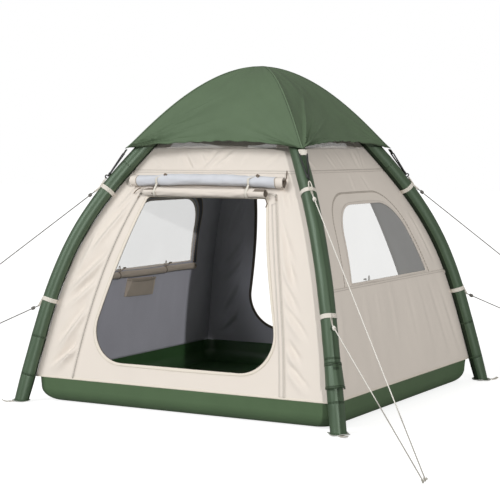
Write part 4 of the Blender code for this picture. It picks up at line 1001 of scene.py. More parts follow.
for sideName in sides:
    edgeSpots, borderSpots = wallPoints(sideName, wallCut["columns"])
    makeWall(sideName, edgeSpots, borderSpots)
    if sideName in ("front", "back"):
        makeBinding(sideName, edgeSpots, borderSpots, 0.018, sandBinding)
        innerDoorEdge(sideName)
    else:
        makeBinding(sideName, edgeSpots, borderSpots, 0.016, windowBinding, 0.0026)
    levelTape("seamTape", sideName, cabin["seam"], 0.020, sandTape)
    levelTape("hemTape", sideName, cabin["hem"], 0.012, sandBinding, lift=0.006)
print("walls sewn")


# Roof net under the canopy, and the sand strips that carry it along the beams

eaveStation = lookUp(innerHeights, stationTable, cabin["eave"])
roof = {"sag": 0.010, "stripWidths": (0.115, 0.045), "stripEnd": 0.96, "hemShare": 0.007, "thickness": 0.0009,
        "cut": (1.92, 1.92)}


def innerSpot(t, out=0.0):
    # the beams' inner side, from the eave (0) to the crown (1)
    station = mixed(eaveStation, 2.0, t)
    return beamSpot(station) - beamOut(station) * (beam["standOff"] - out)


def roofSpot(number, u, t, out=0.0):
    spot = innerSpot(t, out)
    half = spot.x / sqrt(2) - cabin["gap"]
    sag = roof["sag"] * (1 - u * u) * sin(pi * t) ** 0.8
    turn = Matrix.Rotation(number * pi / 2, 3, "Z")
    return turn @ Vector((u * half, -half + 0.4 * sag, spot.y + cabin["gap"] - sag))


def capPatch(columns, rows, spotAt, size):
    # one closed cap from spotAt(side number, u along the side from -1 to 1, v upward)
    def place(u, v):
        share = (u * 4) % 4
        number = min(3, int(share + 1e-6))
        return spotAt(number, 2 * (share - number) - 1, v)
    bm = gridPatch(columns, rows, place, size, close=True)
    return bm, faceAway(bm)


def makeRoofStrip(number, side, hand):
    # widest at the eave, it follows the beam
    def place(u, v):
        t = roof["stripEnd"] * u
        width = mixed(*roof["stripWidths"], t ** 0.6)
        share = 1 - (1 - v) * min(0.98, width / (innerSpot(t).x / sqrt(2)))
        return roofSpot(number, hand * share, t, 0.0012)
    strip = gridPatch(50, 8, place, (0.9, 1.0))
    faceAway(strip, (0, 0, 1))
    return finishPiece("roofStrip_%s_%s" % (side, "right" if hand > 0 else "left"), strip,
                       [sandCanvas, darkLining], slotName="wall_cloth", thick=roof["thickness"], inside=1)


def makeRoof():
    net, area = capPatch(192, 40, roofSpot, (4.0, 0.9))
    piece = finishPiece("roofNet", net, roofNet, stands="roof_mesh", slotName="roof_mesh", sharp=180)
    strips = [makeRoofStrip(number, side, hand) for number, side in enumerate(sides) for hand in (-1, 1)]
    hem, _ = capPatch(240, 6, lambda n, u, t: roofSpot(n, u, roof["hemShare"] * t, 0.0010), (4.0, 1.0))
    strips.append(finishPiece("roofHem", hem, sandTape, slotName="wall_cloth", thick=roof["thickness"]))
    min(area, 3.6)


# Canopy: one sheet of four gores, drawn down at its corners

canopy = {"reach": 0.849, "cornerHeight": 1.5, "peak": 2.0, "rise": 0.042, "thickness": 0.0016,
          "wave": {-1: 0.0090, 1: 0.0060}, "pull": {-1: 0.0185, 1: 0.0040}, "creaseWidth": 0.0125,
          "creases": ((0.36, 0.28), (0.70, 0.38), (0.94, 0.33), (1.18, 0.44)), "hemFold": 0.0042,
          "hemReach": 0.085, "drift": (0.0090, 0.0050), "hollow": 0.006, "seamEnd": 0.960, "seamHalf": 0.011,
          "hemShare": 0.030, "patchStart": 0.940, "tape": 0.0008, "cut": (2.06, 2.06)}


def ridgeSpot(t):
    span, lift = canopy["reach"], canopy["peak"] - canopy["cornerHeight"]
    corner, peak = Vector((span, canopy["cornerHeight"])), Vector((0.0, canopy["peak"]))
    points = (corner, corner + Vector((-0.072 * span, 0.057 * lift)), peak + Vector((0.483 * span, 0.0)),
              peak)
    return curveSpot(points, t)


def canopyCrease(number, u, t):
    # wrinkles run up from each corner; small upright folds stand in the hem
    swell = 0.0
    for hand in (-1, 1):
        across, up = (1 - hand * u) * 0.60 * (1 - t), t * 0.86
        away = hypot(across, up)
        angle = atan2(up, across + 1e-9)
        wave = sin(angle * 10 + 1.7 * number + hand) + 0.55 * sin(angle * 21 + 2.1 * number)
        drawn = smoothStep(away, 0.0, 0.06) * smoothStep(across, 0.0, 0.07)
        swell += canopy["wave"][hand] * wave * exp(-(away / 0.34) ** 2) * drawn
        for crease, reach in canopy["creases"]:
            crease += 0.04 * sin(5 * number + hand + 9 * reach)
            ridge = exp(-((angle - crease) * away / canopy["creaseWidth"]) ** 2)
            swell += canopy["pull"][hand] * ridge * exp(-(away / reach) ** 4) * drawn
    hemFold = sin(u * 31 + 4 * sin(3.1 * u + number) + number) * exp(-(t / canopy["hemReach"]) ** 2)
    hemFold *= canopy["hemFold"] * smoothStep(1 - abs(u), 0.03, 0.25)
    seed = Vector((u * 1.6 + number * 7.3, t * 2.4, number * 1.9))
    drift = noise.noise(seed) * canopy["drift"][0] + noise.noise(seed * 3.1) * canopy["drift"][1]
    inside = smoothStep(1 - abs(u), 0.0, 0.22) * smoothStep(1 - t, 0.0, 0.12)
    return swell + hemFold + drift * inside


def canopySpot(number, u, t, out=0.0):
    reach, height = ridgeSpot(t)
    rise = canopy["rise"] * (1 - u * u) * (1 - t) ** 3
    # the gore lies a little hollow between its two ridges
    hollow = canopy["hollow"] * (1 - u * u) * sin(pi * min(1.0, t * 1.1)) if t < 0.9 else 0.0
    tilt = Vector((0.0, -0.62, 0.78)) if t > 0.15 else Vector((0.0, -0.80, 0.60))
    spot = Vector((u * reach / sqrt(2), rise * 0.75 - reach / sqrt(2), height + rise))
    spot += tilt * (canopyCrease(number, u, t) - hollow + out)
    return Matrix.Rotation(number * pi / 2, 3, "Z") @ spot


def tapeCrown(v):
    # how far a tape stands off the canopy: less at its edges
    return 0.0014 - 0.0010 * (2 * v - 1) ** 4


def makeRidgeSeam(number, side):
    def place(u, v):
        t = canopy["seamEnd"] * u
        off = (2 * v - 1) * canopy["seamHalf"] / max(0.02, ridgeSpot(t).x / sqrt(2))
        if off < 0:
            return canopySpot(number, 1 + off, t, tapeCrown(v))
        return canopySpot((number + 1) % 4, -1 + off, t, tapeCrown(v))
    return finishPiece("ridgeSeam_" + side, gridPatch(90, 6, place, (1.15, 1.0)), ridgeTape, body="fly",
                       slotName="fly_cloth", thick=canopy["tape"])


def gorePlace(face, co):
    middle = face.calc_center_median()
    return (co.x if abs(middle.y) > abs(middle.x) else co.y, co.z * 1.25)


def makeCanopy():
    cloth, area = capPatch(4 * 104, 104, canopySpot, (4.8, 1.0))
    mapCloth(cloth, gorePlace)
    sheet = finishPiece("canopyCloth", cloth, [canopyCloth, canopyUnder], body="fly", stands="fly_canopy",
                        slotName="fly_cloth", thick=canopy["thickness"], inside=1, sharp=60)
    trims = [makeRidgeSeam(number, side) for number, side in enumerate(sides)]
    hem, _ = capPatch(4 * 84, 6, lambda n, u, t: canopySpot(n, u, canopy["hemShare"] * t, tapeCrown(t)),
                      (4.8, 1.0))
    patch, _ = capPatch(4 * 16, 8,
                        lambda n, u, t: canopySpot(n, u, mixed(canopy["patchStart"], 0.9995, t), 0.0022),
                        (0.4, 0.1))
    for name, bm in (("canopyHem", hem), ("peakPatch", patch)):
        trims.append(finishPiece(name, bm, greenTape, body="fly", slotName="fly_cloth", thick=canopy["tape"]))


# Ties at the canopy's corners: a webbing tab, a black elastic and its hook

tie = {"tabWidth": 0.050, "tabLength": 0.036, "hookReach": 0.968, "hookHeight": 1.334, "hookRadius": 0.011,
       "hookOpening": (-52, 230), "wire": 0.0038, "elastic": 0.0044, "bend": 0.0053, "inset": 0.0088,
       "beadLength": 0.017, "beadRadius": 0.0078}


def tieFrame():
    down = Vector((tie["hookReach"] - canopy["reach"], 0,
                   tie["hookHeight"] - canopy["cornerHeight"])).normalized()
    top = Vector((canopy["reach"] - tie["inset"], 0, canopy["cornerHeight"] - tie["inset"]))
    place = axesAt(top, Vector((-down.z, 0, down.x)), Vector((0, 1, 0)), down)
    return place, (Vector((tie["hookReach"], 0, tie["hookHeight"])) - top).length


def makeTie(corner):
    frameHere, length = tieFrame()
    turn = cornerTurn(corner) @ frameHere
    half, low = tie["tabWidth"] / 2, tie["tabLength"]
    bottom, bend, spread = length - tie["hookRadius"], tie["bend"], half * 0.88

    def tabSpot(u, v):
        return Vector((0.0010 + 0.0016 * sin(pi * u) * v + 0.0008 * cos(u * 9),
                       (2 * u - 1) * half * (1 - 0.16 * v),
                       low * v - 0.004 * (1 - (2 * u - 1) ** 2) * (1 - v)))

    def bendSpot(share):
        return Vector((0, -bend * cos(pi * share), bottom - bend + bend * sin(pi * share)))

    def hookSpot(share):
        angle = radians(mixed(*tie["hookOpening"], share))
        return Vector((tie["hookRadius"] * (0.8 * sin(angle) + 0.5), 0,
                       bottom + tie["hookRadius"] * (1 - cos(angle)) * 0.8))
    finishPiece("tieTab_" + corner, gridPatch(24, 16, tabSpot, (tie["tabWidth"], low)),
                creamWebbing if corner == "front_right" else darkWebbing, body="fly",
                stands="fly_tie_" + corner, slotName="webbing", turn=turn, thick=0.0018, offset=0.0)
    elastic = (spotsOf(5, lambda share: Vector((0.001, -spread, low - 0.008 + 0.007 * share)))
               + spotsOf(8, bendSpot)
               + spotsOf(5, lambda share: Vector((0.001, spread, low - 0.001 - 0.007 * share))))
    bead = roundBar(tie["beadLength"], tie["beadRadius"], 0.35)
    bead.transform(Matrix.Translation((0, 0, bottom - 0.014)))
    for name, bm in (("tieElastic_", sweptTube(elastic, tie["elastic"], 10)), ("tieBead_", bead),
                     ("tieHook_", sweptTube(spotsOf(33, hookSpot), tie["wire"], 10))):
        finishPiece(name + corner, bm, blackElastic, body="fly", turn=turn)


makeRoof()
makeCanopy()
for cornerName in corners:
    makeTie(cornerName)
print("canopy on")


# Webbing bands round the beams, with the loops that hold the guy lines and the canopy hooks

band = {"heights": {"upper": 1.250, "lower": 0.600}, "width": 0.025, "thickness": 0.0018, "seat": 0.0006,
        "loopWidth": 0.011, "loopThickness": 0.0014, "loopOverlap": 0.004, "uprightHeight": 0.056,
        "uprightRadius": 0.0034, "stitchWidth": 0.019, "stitchArc": 0.30, "stitchTurn": 0.42}


def makeBand(corner, level, tag):
    frameHere = beamFrame(stationAt(band["heights"][level]))
    turn = cornerTurn(corner) @ frameHere
    seat = beam["radius"] + band["seat"]
    name = "%s_%s" % (level, corner)

    def ringSpot(u, v):
        # the ring sits a little loose, so its edges wander
        angle = 2 * pi * u
        wander = 0.0012 * sin(angle + tag) + 0.0007 * sin(3 * angle + 2 * tag)
        r = seat + 0.0007 * (1 + sin(2 * angle + tag))
        return Vector((r * cos(angle), r * sin(angle), (v - 0.5) * band["width"] + wander))
    ring = gridPatch(96, 6, ringSpot, (2 * pi * seat, band["width"]), close=True)
    faceAway(ring)
    finishPiece("band_" + name, ring, creamWebbing, stands="webbing_band_" + name, slotName="webbing",
                turn=turn, thick=band["thickness"], offset=1.0)
    # a loop of webbing runs out to the guy line
    root = frameHere @ Vector((seat - 0.002, 0, 0))
    along = Vector((guys["start"][level][0], 0, guys["start"][level][1])) - root
    reach = along.length + band["loopOverlap"]

    def loopSpot(u, v):
        return Vector((0.0032 * cos(pi * u), (v - 0.5) * band["loopWidth"], reach * sin(pi * u)))
    finishPiece("bandLoop_" + name, gridPatch(30, 4, loopSpot, (0.05, band["loopWidth"])), creamWebbing,
                slotName="webbing", turn=cornerTurn(corner) @ pointedAlong(along, root),
                thick=band["loopThickness"], offset=0.0)
    if level == "upper":
        # an upright cord loop meets the canopy's hook
        def uprightSpot(share):
            rise = band["uprightHeight"] * sin(pi * share) ** 0.7
            return Vector((seat + 0.0042 + 0.0040 * sin(pi * share), 0.0095 * cos(pi * share), rise - 0.010))
        finishPiece("bandUpright_" + corner, sweptTube(spotsOf(40, uprightSpot), band["uprightRadius"], 10),
                    creamWebbing, slotName="webbing", turn=turn)

    def stitchSpot(u, v):
        # a bar of dense stitches closes the ring beside the loop
        angle = (u - 0.5) * band["stitchArc"] + band["stitchTurn"]
        r = seat + band["thickness"] + 0.0009
        return Vector(((r - 0.0008 * abs(2 * u - 1) ** 3) * cos(angle), r * sin(angle),
                       (v - 0.5) * band["stitchWidth"]))
    finishPiece("bandStitch_" + name, gridPatch(10, 10, stitchSpot, (0.014, 1.0)), sandTape,
                slotName="webbing", turn=turn, thick=0.0006, offset=0.0)


for cornerNumber, cornerName in enumerate(corners):
    for guyLevel in ("upper", "lower"):
        makeBand(cornerName, guyLevel, cornerNumber * 2 + (guyLevel == "upper"))
print("bands tied")


# Rolled door, rolled insect net and rolled blinds

rolls = {"ties": (-0.336, 0.284), "blindTies": (-0.190, 0.345), "tieShift": 0.006, "standOff": 0.005,
         "sheet": 0.0016, "turns": 1.85, "turnGap": 0.0042, "pinch": 0.10, "pleat": 0.0011,
         "rough": (0.130, 0.060),
         "mesh": {"half": 0.515, "radius": 0.0335, "height": 1.313, "shift": -0.008, "belly": 0.0060,
                  "droop": -0.0110, "tag": 1, "hand": -1, "cuff": 0.048, "slot": "mesh_roll",
                  "tieRadius": 0.0335,
                  "outward": True, "cloths": [rolledNet, rollShadeCloth, sandCanvas, taupeTape]},
         "door": {"half": 0.405, "radius": 0.0275, "height": 1.247, "shift": -0.001, "belly": -0.002,
                  "droop": -0.003, "tag": 3, "hand": -1, "cuff": 0, "slot": "wall_cloth", "tieRadius": 0.0300,
                  "outward": True, "cloths": [sandCanvas, rollShadeCloth]},
         "blind": {"half": 0.560, "radius": 0.022, "height": 0.706, "shift": 0.0, "belly": -0.004,
                   "droop": -0.004, "tag": 5, "hand": 1, "cuff": 0, "slot": "blind_cloth",
                   "tieRadius": 0.0212, "outward": False, "cloths": [taupeCloth, rollShadeCloth]}}
strap = {"thickness": 0.0022, "width": 0.010, "wideWidth": 0.0135, "slant": 0.043, "toggleTurn": radians(62),
         "toggleLength": 0.024, "toggleRadius": 0.0045, "lead": 0.0013, "eye": 0.0022}


def rollReach(kind):
    # how far the middle of a roll stands from the middle of the tent
    roll = rolls[kind]
    stand = roll["radius"] + rolls["standOff"]
    step = stand if roll["outward"] else -(stand + 0.003)
    height = roll["height"]
    for _ in range(30):
        slope = wallSlope(height)
        height = roll["height"] + slope / hypot(1, slope) * step
    return wallHalf(height) + cabin["gap"] + step / hypot(1, slope)


def rollBend(kind, x):
    # a roll bellies a little between its ties and droops past them
    low, high = rolls["ties"]
    share = abs(x - (low + high) / 2) / ((high - low) / 2)
    if share < 1:
        return rolls[kind]["belly"] * (1 - share * share)
    return rolls[kind]["droop"] * (share - 1)


def makeRoll(side, kind):
    roll, turns, tag = rolls[kind], rolls["turns"], rolls[kind]["tag"]
    reach, height, full, half = rollReach(kind), roll["height"], roll["radius"], roll["half"]

    def place(u, v):
        # v runs along the roll, u winds from the core to the free edge
        x = mixed(-half, half, v) + roll["shift"]
        angle = 2 * pi * turns * u * roll["hand"] + 0.6 * tag
        pinch, near = (sum(exp(-((x - t) / wide) ** 2) for t in rolls["ties"]) for wide in (0.016, 0.075))
        coarse = noise.noise(Vector((x * 6.0 + tag * 5, cos(angle) * 0.9, sin(angle) * 0.9 + u)))
        fine = noise.noise(Vector((x * 26.0, cos(angle) * 1.6 + tag, sin(angle) * 1.6)))
        r = (full - 0.0012 - rolls["turnGap"] * turns * (1 - u)) * (1 - rolls["pinch"] * pinch)
        r += rolls["pleat"] * near * sin(angle * 5 + x * 30 + tag) * u
        r += full * (rolls["rough"][0] * coarse + rolls["rough"][1] * fine) * u
        end = x + 0.004 * noise.noise(Vector((angle * 0.8, tag, v * 3)))
        return Vector((end, -reach + r * cos(angle), height + r * sin(angle) + rollBend(kind, x)))
    bm = gridPatch(round(56 * turns), 160, place, (2 * pi * full * 0.9 * turns, 2 * half))
    area = faceAway(bm)
    for face in bm.faces:
        # painted shade: near the ends the inner turns take a dark cloth for the shade inside the roll, and
        # the net has cuffs of wall cloth
        middle = face.calc_center_median()
        away = hypot(middle.y + reach, middle.z - height - rollBend(kind, middle.x))
        toEnd, cuff = half - abs(middle.x - roll["shift"]), roll["cuff"]
        if toEnd < 0.07 and away < full * 0.84:
            face.material_index = 1
        elif cuff:
            face.material_index = 3 if abs(toEnd - cuff) < 0.0034 else 2 * (toEnd < cuff)
    name = "%s_roll_%s" % (kind, side)
    piece = finishPiece(name + "_cloth", bm, roll["cloths"], stands=name, slotName=roll["slot"],
                        turn=sideTurn(side), thick=rolls["sheet"], offset=0.0, sharp=80)


def makeRollTie(name, side, x, kinds, spotX, cloth, slotName):
    # a strap goes round one roll or two and closes with a toggle; round two, it turns aside to reach it
    spots = [(rollReach(kind), rolls[kind]["height"] + rollBend(kind, spotX), rolls[kind]["tieRadius"])
             for kind in kinds]
    reach, height, radius = spots[0]
    pair, sense = len(kinds) == 2, 1 if rolls[kinds[0]]["outward"] else -1

    def arc(spot, start, sweep, count, closed=False):
        across, up, r = spot
        return spotsOf(count, lambda share: Vector((0, -across - r * cos(radians(start + sweep * share)),
                                                    up + r * sin(radians(start + sweep * share)))), closed)
    loop = arc(spots[0], 0, 360, 64, True)
    if pair:
        loop = arc(spots[0], -35, 250, 32) + arc(spots[1], 175, 190, 32)
    count, slant, width = len(loop), strap["slant"] * pair, strap["wideWidth"] if pair else strap["width"]

    def place(u, v):
        spot = loop[round(u * count) % count]
        aside = slant * min(1.0, max(0.0, (spot.z - height - 0.014) / 0.0165)) ** 1.3
        return spot + Vector((x + (v - 0.5) * width + aside, 0, 0))
    ring = gridPatch(count, 4, place, (0.3, width), close=True)
    faceAway(ring)
    turn, angle = sideTurn(side), strap["toggleTurn"]
    finishPiece(name + "_strap", ring, cloth, slotName=slotName, turn=turn, thick=strap["thickness"],
                offset=0.0)
    proud = radius + 0.0035
    center = Vector((x + slant + 0.012 * pair, -reach - sense * proud * cos(angle),
                     height + proud * sin(angle)))
    # on a single roll the toggle lies a little to one side, at the end of its cord
    pegSpot = center if pair else center + Vector((-0.060, 0.003 * sense, 0.023))
    peg = roundBar(strap["toggleLength"], strap["toggleRadius"], 0.4)
    peg.transform(Matrix.Translation(pegSpot) @ Matrix.Rotation(pi / 2, 4, "Y")
                  @ Matrix.Rotation(0.15, 4, "X"))
    finishPiece(name + "_toggle", peg, togglePlastic, slotName=slotName, turn=turn)
    if not pair:
        lead = spotsOf(12,
                       lambda share: center.lerp(pegSpot, share) - Vector((0, 0, 0.004 * sin(pi * share))))
        finishPiece(name + "_lead", sweptTube(lead, strap["lead"], 6), brownCord, slotName=slotName,
                    turn=turn)
    # the cord eye that the toggle is pushed through
    tall = 0.0085 if pair else 0.0240
    eye = spotsOf(28, lambda share: center + Vector((0.0075 * cos(2 * pi * share),
                                                     -sense * 0.0030 * cos(angle) - 0.0008,
                                                     tall * sin(2 * pi * share) + tall - 0.0095)), True)
    finishPiece(name + "_eye", sweptTube(eye, strap["eye"], 8, closed=True), brownCord, slotName=slotName,
                turn=turn)


# loose ends of tape or cord, given as places across the wall, up it and out from it
hanging = {"seamStrap": [(0.479, 1.372, 0.001), (0.505, 1.335, 0.030), (0.505, 1.300, 0.045),
                         (0.503, 1.280, 0.050)],
           "cuffTie": [(-0.460, 1.268, 0.022), (-0.485, 1.250, 0.020), (-0.500, 1.232, 0.012)],
           "doorTail": [(0.385, 1.232, 0.015), (0.400, 1.215, 0.013), (0.415, 1.190, 0.009),
                        (0.411, 1.168, 0.006)]}


def makeHanging(side, kind):
    spots = hanging[kind]

    def place(share):
        along = share * (len(spots) - 1)
        n = min(len(spots) - 2, int(along))
        x, z, out = (mixed(a, b, along - n) for a, b in zip(spots[n], spots[n + 1]))
        return wallSpot(x, z) + Vector((0, -out, 0))
    finishPiece("%s_%s" % (kind, side), sweptTube(spotsOf(24, place), 0.0030, 8), brownCord,
                slotName="webbing", turn=sideTurn(side))


for sideName in ("front", "back"):
    for hangingKind in hanging:
        makeHanging(sideName, hangingKind)
    makeRoll(sideName, "mesh")
    makeRoll(sideName, "door")
    for k, tieX in enumerate(rolls["ties"]):
        makeRollTie("doorTie_%s_%d" % (sideName, k), sideName, tieX + rolls["tieShift"], ("mesh", "door"),
                    tieX, creamWebbing, "webbing")
for sideName in ("left", "right"):
    makeRoll(sideName, "blind")
    for k, tieX in enumerate(rolls["blindTies"]):
        makeRollTie("blindTie_%s_%d" % (sideName, k), sideName, tieX, ("blind",), tieX, brownStrap,
                    "blind_cloth")
print("cloth rolled")


# Windows, their zips and the arched seam round them

arch = {"width": 0.082, "lowest": 0.728, "closer": 0.068, "tape": 0.011, "innerWidth": 0.046,
        "innerLowest": 0.720, "innerTape": 0.040, "lowSeam": 0.722, "lowTape": 0.018}
pane = {"columns": 200, "rows": 24, "overlap": 0.020, "behind": 0.0012, "ripple": 0.0022, "cut": (1.02, 0.50)}
seamTab = {"reach": (0.842, 0.880), "height": (0.707, 0.727), "droop": 0.006, "thickness": 0.0014}


def makePane(side):
    columns = pane["columns"]
    edge, border = wallPoints(side, columns)
    center = Vector((windowShifts[side], (window["bottom"] + window["top"]) / 2))
    rim = [a + (b - a).normalized() * pane["overlap"] for a, b in zip(edge, border)]
    depth = -cabin["thickness"] - pane["behind"]

    def place(u, v):
        spot = center.lerp(rim[round(u * columns) % columns], v)
        ripple = pane["ripple"] * noise.noise(Vector((spot.x * 6, spot.y * 6, sides[side]))) * (1 - v ** 4)
        return wallSpot(spot.x, spot.y, depth + ripple)
    bm = gridPatch(columns, pane["rows"], place, close=True)
    area = faceAway(bm, (0, -1, 0))
    piece = finishPiece("pane_" + side, bm, windowFilm, stands="window_pane_" + side, slotName="window_film",
                        turn=sideTurn(side), sharp=180)


def archLine(side, width, lowest):
    # the window's outline pushed outward, ending at a level seam; it stands wide of the pane
    # toward the front and runs close beside it toward the back
    back = width - arch["closer"] if width > arch["closer"] else width
    shift = windowShifts[side] - (width - back) / 2 * (1 if side == "right" else -1)
    slant = (window["bottomHalf"] - window["topHalf"]) / (window["top"] - window["bottom"])
    grown = {"bottom": lowest - 0.05, "top": window["top"] + width * 0.82,
             "topHalf": window["topHalf"] + (width + back) / 2 * (1.0 - 0.35 * slant),
             "corners": (0.002, window["corners"][1] + width * 0.5)}
    grown["bottomHalf"] = grown["topHalf"] + slant * (grown["top"] - grown["bottom"])
    outline = roundedOutline(grown, shift, 18)
    start = min(range(len(outline)), key=lambda k: (outline[k].y, outline[k].x))
    path = [spot for spot in outline[start:] + outline[:start] if spot.y > lowest + 0.004]
    half = grown["bottomHalf"] - slant * 0.05
    return evenLine([Vector((shift - half, lowest))] + path + [Vector((shift + half, lowest))], 160)


def makeSeamTab(side, hand):
    # a small folded tab where the low seam ends at the corner
    def place(u, v):
        z = mixed(*seamTab["height"], v) - seamTab["droop"] * u
        out = 0.0034 + 0.006 * u * u + 0.002 * sin(pi * v)
        return wallSpot(hand * mixed(*seamTab["reach"], u), z) - Vector((0, out, 0))
    finishPiece("seamTab_%s_%d" % (side, hand), gridPatch(16, 8, place, (0.038, 0.020)), sandTape,
                slotName="wall_cloth", turn=sideTurn(side), thick=seamTab["thickness"], offset=0.0)


for sideName in ("left", "right"):
    makePane(sideName)
    wallTape("windowArch_" + sideName, sideName, archLine(sideName, arch["width"], arch["lowest"]),
             arch["tape"], archGrooveShadeTape, out=0.0011)
    for tabHand in (-1, 1):
        makeSeamTab(sideName, tabHand)
    levelTape("lowSeam", sideName, arch["lowSeam"], arch["lowTape"], sandTape)
    wallTape("innerZip_" + sideName, sideName, archLine(sideName, arch["innerWidth"], arch["innerLowest"]),
             arch["innerTape"], liningTape, out=0.0014, rise=cabin["thickness"] + 0.0006, face=-1)
print("windows set")


# Door zips: a sewn tape, its coil, and two sliders on each door

zipSeam = {"low": 0.152, "top": 1.240, "bend": 0.035, "bendReach": 0.060, "tape": 0.024, "coil": 0.0058,
           "litZipCoil": 0.0050, "placket": 0.036, "placketTop": 1.19, "placketIn": 0.017}
slider = {"length": 0.016, "width": 0.010, "thick": 0.004, "topLean": 0.325, "rest": 0.0018, "edge": 0.0014,
          "bridge": 0.0009, "loop": 0.0008, "pullWidth": 0.0062, "pullLength": 0.0165,
          "pullThickness": 0.0017}


def zipPath():
    # up the right zip, round its bend, level over the door and down the left zip
    low, top = zipSeam["low"], zipSeam["top"]
    up = [(zipHalf(z), z) for z in spotsOf(90, lambda share: mixed(low, top - zipSeam["bend"], share))]
    start = Vector(up[-1])
    end, middle = Vector((start.x - zipSeam["bendReach"], top)), Vector((start.x - 0.010, top))
    bend = spotsOf(8, lambda t: tuple(start * (1 - t) ** 2 + middle * 2 * t * (1 - t) + end * t * t))[1:]
    half = up + bend
    across = spotsOf(40, lambda share: (mixed(bend[-1][0], -bend[-1][0], share), top))[1:-1]
    right = [(x + zipHalf(z, 1) - zipHalf(z), z) for x, z in half]
    return right + across + [(-x, z) for x, z in reversed(half)]


def makeSlider(side, hand):
    name = "%s_%s" % (side, "left" if hand < 0 else "right")
    z = zipLine["top"]
    up = Vector((-hand * slider["topLean"], -wallSlope(z), 1.0)).normalized()
    across = up.cross(Vector((0, -1, -wallSlope(z))).normalized()).normalized()
    spot = Vector((hand * zipHalf(z), -wallHalf(z) - cabin["gap"], z))
    turn = sideTurn(side) @ axesAt(spot, across, across.cross(up).normalized(), up)
    rest, face = slider["rest"], slider["rest"] + slider["thick"]
    lift = face + 0.0008

    def bodyShape(co):
        wide = slider["width"] * (1.0 if co.z > 0 else 0.72)
        return Vector((co.x * wide, rest + slider["thick"] * (co.y + 0.5), co.z * slider["length"]))
    body = softBlock(bodyShape, slider["edge"])
    bridge = spotsOf(12, lambda share: Vector((0, face + 0.0028 * sin(pi * share), 0.0052 * cos(pi * share))))
    joined(body, sweptTube(bridge, slider["bridge"], 8))
    loop = spotsOf(36, lambda share: Vector((0.0030 * sin(2 * pi * share), lift,
                                             -0.0085 + 0.0095 * cos(2 * pi * share))), True)
    joined(body, sweptTube(loop, slider["loop"], 8, closed=True))
    finishPiece("slider_" + name, body, sliderMetal, body="slider_" + name, stands="zip_slider_" + name,
                slotName="zip_metal", turn=turn, sharp=40)
    pull = gridPatch(6, 18, lambda u, v: Vector((
        (u - 0.5) * slider["pullWidth"] * (1 - 0.25 * abs(2 * v - 1) ** 6), lift + 0.0009 * sin(6 * v),
        -0.0175 - v * slider["pullLength"])), (0.006, slider["pullLength"]))
    finishPiece("sliderTag_" + name, pull, taupeCloth, body="slider_" + name, turn=turn,
                thick=slider["pullThickness"], offset=0.0)


def makeZip(side):
    path = zipPath()
    middle = len(path) // 2
    wallTape("zipTape_" + side, side, path, zipSeam["tape"], sandTape, out=0.0007)
    # painted shade: the left coil takes a darker copy of the coil for the shade in its gap, the right one a
    # paler, lit copy
    wallTape("zipCoilLeft_" + side, side, path[middle:], zipSeam["coil"], shadedZipCoil, rise=0.0004)
    wallTape("zipCoilRight_" + side, side, path[:middle + 1], zipSeam["litZipCoil"], litZipCoil, rise=0.0004)
    # a narrow placket lies beside the right zip
    heights = spotsOf(80, lambda share: mixed(zipSeam["low"], zipSeam["placketTop"], share))
    placket = [(zipHalf(z, 1) - zipSeam["placketIn"], z) for z in heights]
    wallTape("zipPlacket_" + side, side, placket, zipSeam["placket"], sandTape, out=0.0010)
    for hand in (-1, 1):
        makeSlider(side, hand)


makeZip("front")
makeZip("back")
print("zips closed")


# Floor tub, feet

tub = {"taper": 0.004, "edge": 0.088, "corner": 0.075, "thickness": 0.003, "ripple": 0.0030, "pucker": 0.0005,
       "floorWave": 0.0014, "straightShare": 0.72, "cut": (2.26, 2.26)}


def tubProfile(v, rimShare=0.25, floorShare=0.55):
    # reach and height from the rim (0) down over the bottom edge and in to the middle (1)
    half, top = wallHalf(cabin["hem"]), cabin["hem"] - cabin["gap"]
    foot, edge = half - tub["taper"], tub["edge"]
    if v < rimShare:
        return mixed(half, foot, v / rimShare), mixed(top, edge, v / rimShare)
    if v < floorShare:
        angle = pi / 2 * (1 - (v - rimShare) / (floorShare - rimShare))
        return foot - edge * (1 - sin(angle)), edge * (1 - cos(angle))
    return mixed(foot - edge, 0.0, (v - floorShare) / (1 - floorShare)), 0.0


def tubSpot(u, v):
    reach, height = tubProfile(v)
    radius = min(tub["corner"], reach * 0.4)
    number = min(3, int((u * 4) % 4 + 1e-6))
    share, straight, flat = (u * 4) % 4 - number, reach - radius, tub["straightShare"]
    if share < flat:
        spot = Vector((mixed(-straight, straight, share / flat), -reach))
        normal = Vector((0, -1))
    else:
        angle = -pi / 2 + pi / 2 * (share - flat) / (1 - flat)
        normal = Vector((cos(angle), sin(angle)))
        spot = Vector((straight, -straight)) + normal * radius
    place = spot.x * 0.9 + number * 3.7
    side = smoothStep(height, 0.004, 0.03) * (1 - smoothStep(height, cabin["hem"] - 0.012, cabin["hem"]))
    ripple = tub["ripple"] * noise.noise(Vector((place * 2.6, height * 6, number)))
    ripple += tub["pucker"] * sin(place * 19 + height * 14)
    wave = 0.0
    if height <= 0:
        wave = tub["floorWave"] * (1 + noise.noise(Vector((spot.x * 3, spot.y * 3, number))))
    spot = Matrix.Rotation(number * pi / 2, 2) @ (spot + normal * ripple * side)
    return Vector((*spot, height + wave * smoothStep(v, 0.56, 0.62) * (1 - smoothStep(v, 0.97, 1.0))))


def tubPlace(face, co):
    if abs(face.normal.z) > 0.7:
        return (co.x, co.y)
    return (co.x if abs(face.normal.y) > abs(face.normal.x) else co.y, co.z)


def makeTub():
    bm = gridPatch(4 * 96, 96, tubSpot, (8.0, 1.6), close=True)
    area = faceAway(bm, (0, 0, -1))
    mapCloth(bm, tubPlace)
    sheet = finishPiece("tubSheet", bm, [tubCloth, floorCloth], stands="floor_tub", slotName="floor_sheet",
                        thick=tub["thickness"], inside=1)


